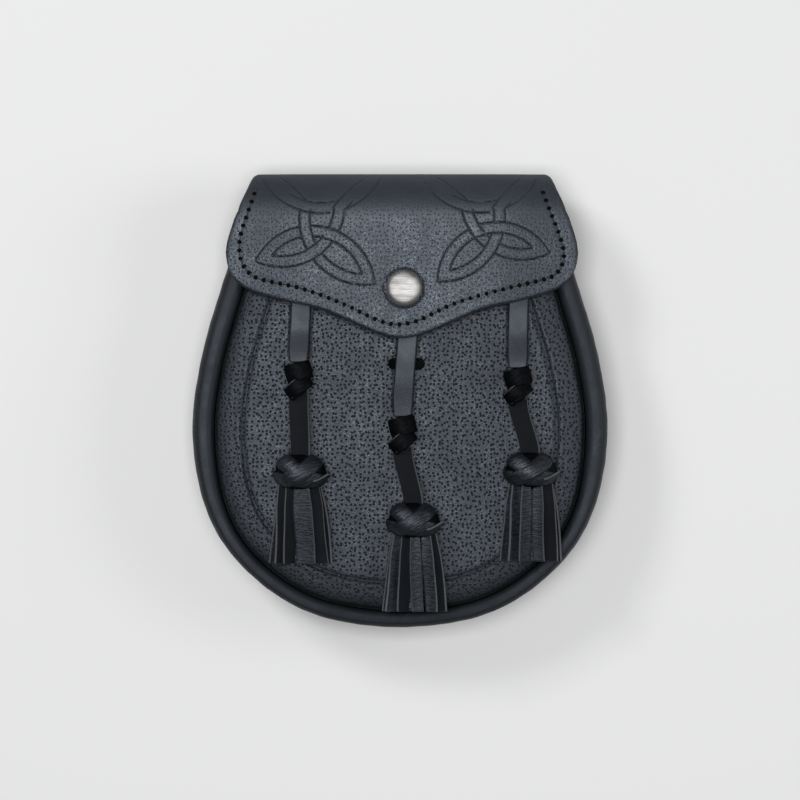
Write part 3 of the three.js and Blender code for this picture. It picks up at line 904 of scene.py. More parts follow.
@dataclass
class PouchBody:
    """The gusset with its rolled rims, and both panels."""

    form: PouchForm
    finishes: Finishes
    flap_edge: Callable[[np.ndarray], np.ndarray]
    wall: float = 1.8
    flat: float = 1.6
    roll_fall: float = 5.5
    hollow: float = 1.2
    back_recess: float = 6.9
    crease: float = 0.07
    valley: float = 1.5
    ridge: float = 0.75
    slot_length: float = 15.5
    slot_height: float = 5.0
    slot_across: float = 2.71
    slot_up: float = 110.94
    bead_inset: float = 1.8
    # Reach of the painted shadow under the flap's edge and on either side of the straps.
    shadow_below: float = 1.6
    shadow_left: float = 0.9
    shadow_right: float = 1.5

    def section(self) -> tuple[np.ndarray, np.ndarray, np.ndarray]:
        """The gusset's outer face across its width, from the front seam to the back seam.

        Returns:
            For each point of the section its inward reach as a share of the rim, what is added
            to that, and how far out it stands.
        """
        turns = np.linspace(0, math.pi / 2, 9)
        lean = 1 - np.sin(turns)
        fall = 1 - np.cos(turns)
        crest = lean * self.flat / 2
        depth = self.form.DEPTH
        side = np.linspace(0, 1, 16)[1:-1]
        side_out = blend(depth - self.roll_fall, self.roll_fall, side)
        bulge = self.hollow * np.sin(math.pi * side)
        share = [(1 - lean / 2)[::-1], lean / 2, side * 0, (lean / 2)[::-1], 1 - lean / 2]
        extra = [crest[::-1], -crest, bulge, -crest[::-1], crest]
        out = [
            depth - self.form.SEAM_DROP * fall[::-1], depth - self.roll_fall * fall, side_out,
            self.roll_fall * fall[::-1], self.back_recess * fall,
        ]
        return np.concatenate(share), np.concatenate(extra), np.concatenate(out)

    def gusset(self) -> None:
        """Lofts the strip round the sides and bottom, with its soft creases."""
        share, extra, out = self.section()
        points = np.stack([share, extra, out], axis=-1)
        dark = {}

        def place(across: np.ndarray, length: np.ndarray) -> Points:
            """A place on the gusset's outer face.

            Args:
                across: Shares of the way across.
                length: Shares of the way along.

            Returns:
                One row of metres for each place.
            """
            spot = along(points, across)
            rim = along(self.form.rim[:, None], length)[:, 0]
            edge = along(self.form.line, length)
            inward = along(self.form.inward, length)
            ripple = np.sin(length * 173 + 3 * np.sin(length * 31)) * np.sin(across * 9 + length * 47)
            ripple += 0.6 * np.sin(length * 311 + across * 14)
            rolled = np.exp(-(((across - 0.5) / 0.34) ** 6))
            # Painted shade: the gusset darkens towards both seams, where it creases into the panels.
            dark["lines"] = np.exp(-((np.minimum(across, 1 - across) / 0.09) ** 2))
            reach = rim * spot[:, 0] + spot[:, 1] + self.crease * ripple * rolled
            return framed(*(edge + inward * reach[:, None]).T, spot[:, 2])

        piece = sheet("gusset_leather", 300, len(share) - 1, place)
        mark(piece, dark["lines"])
        tidy(piece)
        face_away(piece, (0, self.form.CENTRE_UP, self.form.DEPTH / 2))
        self.finishes.put(piece, SMOOTH_HIDE)
        thicken(piece, self.wall, -1, WALL_EDGE)
        dress(piece, ["gusset"])

    def slot_cutter(self) -> Piece:
        """Makes the block that cuts the slot.

        Returns:
            The block, with round ends.
        """
        block = add_primitive(bpy.ops.mesh.primitive_cube_add, size=1)
        size = np.array([self.slot_length, self.slot_height, self.form.DEPTH]) * MM
        set_corners(block, corners(block) * size)
        edit(block, lambda: bpy.ops.mesh.select_all(action="DESELECT"))
        for side in block.data.edges:
            low, high = (block.data.vertices[i].co for i in side.vertices)
            side.select = abs(low.z - high.z) > 0.01
        bpy.ops.object.mode_set(mode="EDIT")
        bpy.ops.mesh.select_mode(type="EDGE")
        bpy.ops.mesh.bevel(offset=self.slot_height * 0.498 * MM, segments=7)
        bpy.ops.mesh.select_mode(type="VERT")
        bpy.ops.object.mode_set(mode="OBJECT")
        spot = framed(self.slot_across, self.slot_up, self.form.DEPTH)
        set_corners(block, corners(block) + spot)
        return block

    def painted_strap_and_flap_shadow(self, spots: Points) -> np.ndarray:
        """How dark the painted shadow is on the front beside the upper straps and under the flap's edge.

        Args:
            spots: One row of across and up for each place.

        Returns:
            One value from 0 to 1 for each place.
        """
        across, up = spots.T
        edge = self.flap_edge(across)
        dark = 0.95 * np.exp(-((np.maximum(edge - up, 0) / self.shadow_below) ** 2))
        for side, share in self.form.STRAPS:
            low, high = node_box(f"{side}_strap_knot")
            strap = share * self.form.HALF_WIDTH
            top = self.flap_edge(np.array([strap]))[0] + self.form.STRAP_TUCK
            middle = blend(strap, (low[0] + high[0]) / 2, smooth((top - up) / (top - high[1] + 1.5)))
            beside = np.maximum(np.abs(across - middle) - self.form.STRAP_WIDTH / 2, 0)
            reach = np.where(across > middle, self.shadow_right, self.shadow_left)
            shown = smooth((up - high[1] + 2) / 4)
            dark = np.maximum(dark, 0.9 * np.exp(-((beside / reach) ** 2)) * shown)
        return dark

    def front_panel(self) -> None:
        """The domed front with its moulded step and the slot behind the middle strap."""
        dark = {}

        def place(across: np.ndarray, length: np.ndarray) -> Points:
            """A place on the panel's face, closer rows near the seam.

            Args:
                across: Shares of the way across.
                length: Shares of the way along.

            Returns:
                One row of metres for each place.
            """
            spots = self.form.inside(length, across ** 1.35)
            out = self.form.face(*spots.T)
            out = np.where(across < 1e-6, self.form.DEPTH - self.form.SEAM_DROP, out)
            edge = nearest(spots, self.form.seam[::2])
            fold = np.exp(-(((edge - self.form.STEP_INSET) / 1.0) ** 2))
            bead = np.exp(-(((edge - self.form.STEP_INSET + self.bead_inset) / 1.3) ** 2))
            seam = np.exp(-((edge / 1.6) ** 2))
            # Painted shade along the seam and in the crease of the moulded step, with the painted shadows
            # of the straps and the flap.
            dark["lines"] = np.maximum.reduce([seam, 0.72 * fold, self.painted_strap_and_flap_shadow(spots)])
            out += self.ridge * (0.5 * bead - fold) - self.valley * np.exp(-((edge / 1.2) ** 2))
            return framed(*spots.T, out)

        piece = sheet("front_panel_leather", 260, 132, place)
        mark(piece, dark["lines"])
        tidy(piece, (0, 0, 1))
        self.finishes.put(piece, STIPPLED)
        modify(piece, "SOLIDIFY", thickness=self.wall * MM, offset=-1)
        cutter = self.slot_cutter()
        modify(piece, "BOOLEAN", object=cutter, operation="DIFFERENCE", solver="EXACT")
        bpy.data.objects.remove(cutter, do_unlink=True)
        round_edges(piece, WALL_EDGE, 60)
        dress(piece, ["front_panel"])

    def back_panel(self) -> None:
        """The plain back, very slightly hollow between its seams."""
        def place(across: np.ndarray, length: np.ndarray) -> Points:
            """A place on the panel's back face.

            Args:
                across: Shares of the way across.
                length: Shares of the way along.

            Returns:
                One row of metres for each place.
            """
            spots = self.form.inside(length, across)
            return framed(*spots.T, self.back_recess + 0.25 * smooth(across * 2))

        piece = sheet("back_panel_leather", 200, 24, place)
        tidy(piece, (0, 0, -1))
        self.finishes.put(piece, SMOOTH_HIDE)
        thicken(piece, self.wall, -1, WALL_EDGE)
        dress(piece, ["back_panel"])


# Stitches


class Stitcher:
    """Sews rows of stitches: one stitch is shaped, and copies of it make a row."""

    def __init__(self, length: float, thread: float) -> None:
        """Shapes one stitch lying along X, its thread pulled down at both ends.

        Args:
            length: Length of a stitch in millimetres.
            thread: The thread's diameter in millimetres.
        """
        ball = bpy.ops.mesh.primitive_uv_sphere_add
        stitch = add_primitive(ball, segments=8, ring_count=8, radius=0.5)
        edit(stitch, lambda: bpy.ops.mesh.remove_doubles(threshold=1e-6))
        places = corners(stitch)[:, [2, 1, 0]] * (2, 1, 1)
        reach = np.clip(np.abs(places[:, 0]), 0, 1)
        blunt = np.maximum(np.sqrt(1 - reach ** 4), 0.35)
        places[:, 1:] *= (1 - 0.2 * reach ** 2)[:, None] / blunt[:, None] ** 0.5
        places[:, 2] -= 0.5 * reach ** 3
        self.points = places * (length / 2, thread, thread) * MM
        self.faces = [tuple(face.vertices)[::-1] for face in stitch.data.polygons]
        bpy.data.objects.remove(stitch, do_unlink=True)

    def row(self, name: str, spots: Points, ways: Points, outs: Points) -> Piece:
        """Sews one joined row.

        Args:
            name: The row's name.
            spots: Where each stitch's middle lies, in metres.
            ways: The way each runs.
            outs: The way out of the leather at each.

        Returns:
            The row as one mesh.
        """
        points, faces = [], []
        for spot, way, out in zip(spots, ways, outs):
            x = Vector(way).normalized()
            z = (Vector(out) - x * x.dot(Vector(out))).normalized()
            turn = np.array(Matrix((x, z.cross(x), z)).transposed())
            start = len(points) * len(self.points)
            points.append(self.points @ turn.T + spot)
            faces.extend(tuple(index + start for index in face) for face in self.faces)
        mesh = bpy.data.meshes.new(name)
        mesh.from_pydata(np.vstack(points).tolist(), [], faces)
        piece = bpy.data.objects.new(name, mesh)
        bpy.context.scene.collection.objects.link(piece)
        edit(piece, lambda: bpy.ops.mesh.normals_make_consistent(inside=False))
        bpy.ops.object.shade_smooth()
        return piece


def sew_line(line: Points, pitch: float) -> tuple[Points, Points]:
    """Cuts a line into stitch places.

    Args:
        line: The row's line in millimetres across and up.
        pitch: Distance from stitch to stitch.

    Returns:
        The middle of each stitch, and the way that it runs.
    """
    run = np.linalg.norm(np.diff(line, axis=0), axis=1).sum()
    count = max(2, round(run / pitch))
    marks = 2 * count + 1
    cuts = smooth_line(line, marks) if len(line) > 2 else along(line, np.linspace(0, 1, marks))
    return cuts[1::2], cuts[2::2] - cuts[:-1:2]


# The flap


@dataclass(frozen=True)
class Strand:
    """One bowed strand of a knot, from a tip to the next."""

    start: tuple[float, float]
    end: tuple[float, float]
    bow: float

    def measure(self, spots: Points) -> tuple[np.ndarray, np.ndarray]:
        """Measures places against the strand.

        Args:
            spots: One row of across and up for each place.

        Returns:
            How far each lies outside the strand's circle, and how far along the strand it is,
            from minus 1 at its start to 1 at its end.
        """
        start, end = from_photo(self.start, self.end)
        chord = end - start
        length = np.linalg.norm(chord)
        side = np.array([-chord[1], chord[0]]) / length
        sagitta = self.bow * length
        radius = (length ** 2 / 4 + sagitta ** 2) / (2 * abs(sagitta))
        centre = (start + end) / 2 + side * (sagitta - math.copysign(radius, sagitta))
        away = spots - centre
        peak = side * math.copysign(1, sagitta)
        ahead = chord / length
        angle = np.arctan2(away @ ahead, away @ peak)
        half = math.asin(min(1.0, length / 2 / radius))
        return np.linalg.norm(away, axis=1) - radius, angle / half


@dataclass(frozen=True)
class Triquetra:
    """A three-cornered knot of three strands that pass over and under each other."""

    tips: tuple[tuple[float, float], tuple[float, float], tuple[float, float]]
    bows: tuple[float, float, float]
    rows: tuple[float, float]
    band: float = 4.6
    line: float = 0.33

    def press(self, spots: Points) -> tuple[np.ndarray, np.ndarray]:
        """Works out the knot's pressed lines and raised bands.

        Args:
            spots: One row of across and up for each place.

        Returns:
            How strongly each place is pressed and how much it is part of a band, from 0 to 1.
        """
        strands = [Strand(self.tips[i], self.tips[(i + 1) % 3], self.bows[i]) for i in range(3)]
        measured = [strand.measure(spots) for strand in strands]
        half = self.band / 2
        pressed = np.zeros(len(spots))
        raised = np.zeros(len(spots))
        pixel_row = PHOTO_BOTTOM - spots[:, 1] / PIXEL
        for i, (off, way) in enumerate(measured):
            before, after = measured[i - 1], measured[(i + 1) % 3]
            last_row = self.rows[1] + 6 * (i == 0)
            shown = (np.abs(way) < 1.25) & (pixel_row >= self.rows[0]) & (pixel_row < last_row)
            shown &= (way > -0.55) | (before[0] < half)
            shown &= (way < 0.55) | (after[0] < half)
            for other_off, other_way in (before, after):
                crossed = (np.abs(other_way + 0.35) < 0.35) & (np.abs(way - 0.35) < 0.35)
                shown &= ~(crossed & (np.abs(other_off) < half - 0.1))
            mitred = ((way < -0.55) & (before[0] > -half)) | ((way > 0.55) & (after[0] > -half))
            mitred &= off < 0
            groove = np.exp(-(((np.abs(off) - half) / self.line) ** 2)) * (shown & ~mitred)
            pressed = np.maximum(pressed, groove)
            raised = np.maximum(raised, smooth((half - np.abs(off)) / 1.2) * shown)
        return pressed, raised


@dataclass
class Flap:
    """The flap with its pressed knotwork, its stitches and the press stud's cap."""

    form: PouchForm
    finishes: Finishes
    top_up: float = 191.5
    reach: float = 69.9
    half_width: float = 73.9
    shift: float = 0.8
    wall: float = 2.2
    fold_rise: float = 16.5
    back_lap: float = 25.0
    front_out: float = 46.9
    back_out: float = 4.4
    droop: float = 4.1
    stud_across: float = 1.706
    stud_up: float = 142.59
    groove: float = 0.3
    band_rise: float = 0.12
    pitch: float = 3.55
    hole: float = 1.95
    channel: float = 0.2
    channel_reach: float = 0.9
    dimple: float = 0.45
    dimple_reach: float = 9.5
    ring: float = 8.0
    wave: float = 0.22
    burnish: float = 0.6
    burnish_reach: float = 0.75
    edge_rows: tuple[tuple[float, float], ...] = (
        (0, 1), (0.07, 0.991), (0.185, 0.9485), (0.41, 0.845), (0.51, 0.811), (0.64, 0.783),
        (0.866, 0.711), (0.952, 0.645), (0.984, 0.58), (0.996, 0.532), (1, 0.486),
    )
    taper_rows: tuple[tuple[float, float], ...] = (
        (-1, 0.73), (0, 0.745), (0.5, 0.832), (0.78, 0.876), (1, 0.93), (1.4, 0.968), (1.75, 0.992), (2, 1),
    )
    knots: tuple[Triquetra, ...] = (
        Triquetra(((263, 259), (329, 171), (369, 280)), (-0.37, -0.37, -0.345), (209, 300)),
        Triquetra(((443, 277), (474, 170), (542, 251)), (-0.36, -0.36, -0.345), (209, 300)),
        Triquetra(((268, 177), (374, 179), (322, 300)), (-0.29, -0.17, -0.18), (160, 209)),
        Triquetra(((430, 180), (531, 178), (483.5, 300)), (-0.29, -0.167, -0.188), (160, 209)),
    )
    sewn: tuple[tuple[float, float], ...] = (
        (257, 186), (252, 202), (246, 219), (241, 235), (239.5, 250), (242, 263), (247, 271), (254, 277),
        (262, 280), (302, 289), (345, 305), (379, 321), (397, 325), (415, 322), (454, 304), (498, 291),
        (543, 280), (552, 277), (559, 271), (563, 262), (564, 254), (560, 238), (554, 222), (548, 207),
        (540, 185),
    )

    def __post_init__(self) -> None:
        """Reads the tables once."""
        self.fold_foot = self.top_up - self.fold_rise
        self.drop = table_curve(self.edge_rows)
        self.taper = table_curve(self.taper_rows)
        self.sewn_line = smooth_line(from_photo(*self.sewn), 400)

    def lower_edge(self, share: np.ndarray) -> np.ndarray:
        """Height of the flap's lower edge at shares of its half width."""
        return self.top_up - self.reach * self.drop(np.abs(share))

    def edge_up(self, across: np.ndarray | float) -> np.ndarray:
        """Height of the flap's lower edge at distances to the right of the middle."""
        return self.lower_edge((across - self.shift) / self.half_width)

    def rows(self) -> Points:
        """Spaces the flap's rows.

        Returns:
            The part that each row is in, 0 back, 1 fold or 2 front, and its share of that part.
        """
        stretches = [(0, 0, 1, 6), (1, 0, 0.5, 10), (1, 0.5, 1, 46), (2, 0, 1, 88)]
        rows = [(part, share) for part, low, high, count in stretches
                for share in np.linspace(low, high, count, endpoint=False)]
        return np.array([*rows, (2, 1)])

    def columns(self) -> np.ndarray:
        """Spaces the flap's columns, close where the knots are.

        Returns:
            Where each runs, in shares of the half width.
        """
        stretches = [(-73.9, -65, 0.55), (-65, -61, 1), (-61, -9, 0.43), (-9, 14.5, 1.5), (14.5, 64, 0.43),
                     (64, 73.9, 0.55)]
        columns = [np.linspace(low, high, round((high - low) / step), endpoint=False)
                   for low, high, step in stretches]
        return np.concatenate([*columns, [self.half_width]]) / self.half_width

    def sag(self, across: np.ndarray) -> np.ndarray:
        """How far the flap's sides fall back towards the rims."""
        return self.droop * smooth(2 * np.abs(across) / self.half_width - 1)

    def relief(self, across: np.ndarray, up: np.ndarray) -> tuple[np.ndarray, np.ndarray]:
        """What is pressed into the front and what stands up from it.

        Args:
            across: Distances to the right of the middle.
            up: Heights above the pouch's bottom.

        Returns:
            The height added in millimetres, and the painted shade in the pressed lines and the stitch
            channel and round the stud's cap.
        """
        spots = np.stack([across, up], axis=-1)
        kept = 1 - smooth((up - 187.5) / 4)
        pressed = np.zeros(len(spots))
        raised = np.zeros(len(spots))
        for knot in self.knots:
            line, band = knot.press(spots)
            pressed, raised = np.maximum(pressed, line), np.maximum(raised, band)
        pressed, raised = pressed * kept, raised * kept
        channel = np.exp(-((nearest(spots, self.sewn_line) / self.channel_reach) ** 2))
        from_stud = np.hypot(across - self.stud_across, up - self.stud_up)
        dimple = np.exp(-((from_stud / self.dimple_reach) ** 4))
        waves = np.sin(across / 9 + 1) * np.sin(up / 13) * smooth((self.fold_foot - up) / 10)
        height = self.band_rise * raised + self.wave * waves
        height -= self.groove * pressed + self.channel * channel + self.dimple * dimple
        # Painted shadow: a dark ring round the stud's cap; the pressed lines and the channel get painted
        # shade.
        ring = np.exp(-(((from_stud - self.ring) / 0.8) ** 4))
        return height, np.maximum.reduce([pressed, 0.35 * channel, ring])

    def leather(self) -> None:
        """The flap's one sheet, from the back over the fold to its lobe."""
        rows, columns = self.rows(), self.columns()
        dark = {}

        def place(across: np.ndarray, length: np.ndarray) -> Points:
            """A place on the flap's outer face.

            Args:
                across: Shares of the way across.
                length: Shares of the way along.

            Returns:
                One row of metres for each place.
            """
            part, share = rows[np.rint(length * (len(rows) - 1)).astype(int)].T
            column = columns[np.rint(across * (len(columns) - 1)).astype(int)]
            turn = math.pi * share
            up = np.select(
                [part == 0, part == 1],
                [
                    self.fold_foot - self.back_lap * (1 - share),
                    self.fold_foot + self.fold_rise * np.sin(turn),
                ],
                blend(self.fold_foot, self.lower_edge(column), share),
            )
            widest = self.lower_edge(np.ones(1))[0]
            front_way = 1 + np.minimum(1, (self.fold_foot - up) / (self.fold_foot - widest))
            way = np.select([part == 0, part == 1], [share - 1, share], front_way)
            depth = np.select([part == 0, part == 1], [share * 0, (1 - np.cos(turn)) / 2], 1.0)
            x = column * self.taper(way) * self.half_width
            out = blend(self.back_out, self.front_out - self.sag(x), depth)
            height, lines = self.relief(x + self.shift, up)
            front = (part == 2) | ((part == 1) & (share > 0.5))
            height, lines = height * front, lines * front
            # Near its edge the flap rolls down, burnished; the darkening there is partly the edge's black
            # finish and partly painted shadow under the flap's edge.
            foot = np.where(part == 2, (1 - share) * (self.fold_foot - self.lower_edge(column)), 99)
            inset = np.minimum(foot, (1 - np.abs(column)) * self.half_width)
            burnished_and_shadowed = np.exp(-((inset / self.burnish_reach) ** 2))
            height, lines = height - self.burnish * burnished_and_shadowed, np.maximum(lines, 0.95 * burnished_and_shadowed)
            half_depth = (self.front_out - self.back_out) / 2
            lean_up = np.where(part == 1, np.sin(turn) / self.fold_rise, 0)
            lean_out = np.select([part == 0, part == 1], [-1.0, -np.cos(turn) / half_depth], 1.0)
            size = np.hypot(lean_up, lean_out)
            dark["lines"] = lines
            return framed(x + self.shift, up + height * lean_up / size, out + height * lean_out / size)

        piece = sheet("flap_leather", len(rows) - 1, len(columns) - 1, place)
        mark(piece, dark["lines"])
        tidy(piece, (0, 0, 1))
        self.finishes.put(piece, FLAP_HIDE)
        thicken(piece, self.wall, -1, 0.45)
        dress(piece, ["flap"])

    def front_place(self, spots: Points, lift: float) -> tuple[Points, Points]:
        """Places on the flap's front face and the way out there.

        Args:
            spots: One row of across and up for each place.
            lift: How far above the face, in millimetres.

        Returns:
            The places in metres, and the ways out.
        """
        across, up = spots.T
        rise = np.clip((up - self.fold_foot) / self.fold_rise, 0, 1)
        depth = (1 + np.sqrt(1 - rise ** 2)) / 2
        out = blend(self.back_out, self.front_out - self.sag(across - self.shift), depth)
        half_depth = (self.front_out - self.back_out) / 2
        outs = np.stack([rise * 0, rise / self.fold_rise, np.sqrt(1 - rise ** 2) / half_depth], axis=-1)
        outs /= np.linalg.norm(outs, axis=1)[:, None]
        return framed(across, up, out) + outs * lift * MM, outs

    def stitches(self, stitcher: Stitcher) -> None:
        """The row of stitches inside the flap's edge, and one along its back edge.

        Args:
            stitcher: The one who sews them.
        """
        spots, ways = sew_line(self.sewn_line, self.pitch)
        places, outs = self.front_place(spots, -0.1)
        ways = np.column_stack([ways, np.zeros(len(ways))])
        front = stitcher.row("flap_stitches", places, ways, outs)
        # Dots between the stitches: thread darkened as painted shade of the holes.
        ends = spots[:-1] + np.diff(spots, axis=0) / 2
        places, outs = self.front_place(ends, 0.0)
        holes = Stitcher(self.hole, self.hole).row("holes", places, ways[:-1], outs)
        half = 0.7 * self.half_width
        back_up = self.fold_foot - self.back_lap + 4
        spots, ways = sew_line(np.array([[-half, back_up], [half, back_up]]) + (self.shift, 0), self.pitch)
        ways = np.column_stack([ways, np.zeros(len(ways))])
        outs = np.tile([0, 0, -1.0], (len(spots), 1))
        back = stitcher.row("back_row", framed(*spots.T, self.back_out - 0.1), ways, outs)
        for sewn, finish in ((front, THREAD), (holes, SHADED_HOLE_THREAD), (back, THREAD)):
            self.finishes.put(sewn, finish)
        piece = join("flap_stitches", [front, holes, back])
        dress(piece)

    def stud_cap(self) -> None:
        """The press stud's cap: a domed disc with a rolled edge, spun from its profile."""
        low, high = node_box("snap_cap")
        radius, height = (high[0] - low[0]) / 2, high[2] - low[2]
        turns = np.linspace(math.radians(12), math.pi / 2, 10)[::-1]
        reach = np.cos(turns)
        dome = [(radius * 0.95 * share, height * (1 - 0.16 * share ** 4 - 0.35 * share ** 16))
                for share in reach]
        rolled = [(radius * 0.985, height * 0.4), (radius, height * 0.22), (radius * 0.985, height * 0.07),
                  (radius * 0.94, 0.0), (radius * 0.5, 0.0), (0.0, 0.0)]
        profile = np.array([(0.0, height), *dome[1:], *rolled]) * MM
        cap = add_primitive(bpy.ops.mesh.primitive_plane_add, size=MM)
        cap.name = "stud_cap"
        activate(cap)
        bpy.ops.object.mode_set(mode="EDIT")
        bpy.ops.mesh.select_all(action="SELECT")
        bpy.ops.mesh.merge(type="CENTER")
        bpy.ops.transform.translate(value=(0, 0, profile[0, 1]))
        for before, after in zip(profile, profile[1:]):
            step = (after[0] - before[0], 0, after[1] - before[1])
            bpy.ops.mesh.extrude_region_move(TRANSFORM_OT_translate={"value": step})
        bpy.ops.mesh.select_all(action="SELECT")
        bpy.ops.mesh.spin(steps=64, angle=math.tau, center=(0, 0, 0), axis=(0, 0, 1))
        bpy.ops.mesh.select_all(action="SELECT")
        bpy.ops.mesh.remove_doubles(threshold=1e-6)
        bpy.ops.mesh.normals_make_consistent(inside=False)
        bpy.ops.object.mode_set(mode="OBJECT")
        middle = (low + high) / 2
        set_corners(cap, corners(cap) + framed(middle[0], middle[1], low[2]))
        soften(cap)
        self.finishes.put(cap, Nickel())
        dress(cap, ["snap_cap"])

    def stud_post(self) -> None:
        """Gives the post's CAD node its plate."""
        self.finishes.put(bpy.data.objects["snap_post"], Nickel())


# Thongs and tassels


def thong(
    name: str, centres: Points, widths: Points, wall: float, finishes: Finishes, face: Leather,
    edge: Leather = CUT_EDGE, crown: float = 0.0, closed: bool = False, steps: int = 36,
) -> Piece:
    """Lays a leather thong along a path.

    Args:
        name: The object's name.
        centres: The path's points in millimetres across, up and out.
        widths: The thong's whole width at each point, as a way and a length.
        wall: Its thickness.
        finishes: The materials.
        face: The finish of its faces.
        edge: The finish of its cut edges.
        crown: How far its middle bulges.
        closed: Whether it runs back into its start.
        steps: Cells along it.

    Returns:
        The thong.
    """
    dark = {}

    def place(across: np.ndarray, length: np.ndarray) -> Points:
        """A place on the thong's middle layer.

        Args:
            across: Shares of the way across.
            length: Shares of the way along.

        Returns:
            One row of metres for each place.
        """
        wide = along(widths, length)
        ahead = along(centres, length + 0.01) - along(centres, length - 0.01)
        if closed:
            ahead = along(centres, (length + 0.01) % 1) - along(centres, (length - 0.01) % 1)
        out = np.cross(wide, ahead)
        out /= np.maximum(np.linalg.norm(out, axis=1), 1e-9)[:, None]
        side = across * 2 - 1
        # Painted shade: the faces darken towards both edges, where shadow falls beside the thong.
        dark["lines"] = 0.9 * side ** 8
        spot = along(centres, length) + wide * side[:, None] / 2 + out * (crown * (1 - side ** 2))[:, None]
        return framed(*spot.T)

    piece = sheet(name, steps, 10, place)
    mark(piece, dark["lines"])
    tidy(piece)
    finishes.put(piece, face, edge)
    thicken(piece, wall, 0, wall * 0.22, rim_slot=1)
    return piece


@dataclass(frozen=True)
class Strip:
    """One strip of a skirt: where it starts and ends across, its width and its layer."""

    root: float
    tip: float
    width: float
    layer: float
    turn: float = 0.0
    flesh: bool = False
    length: float = 1.0


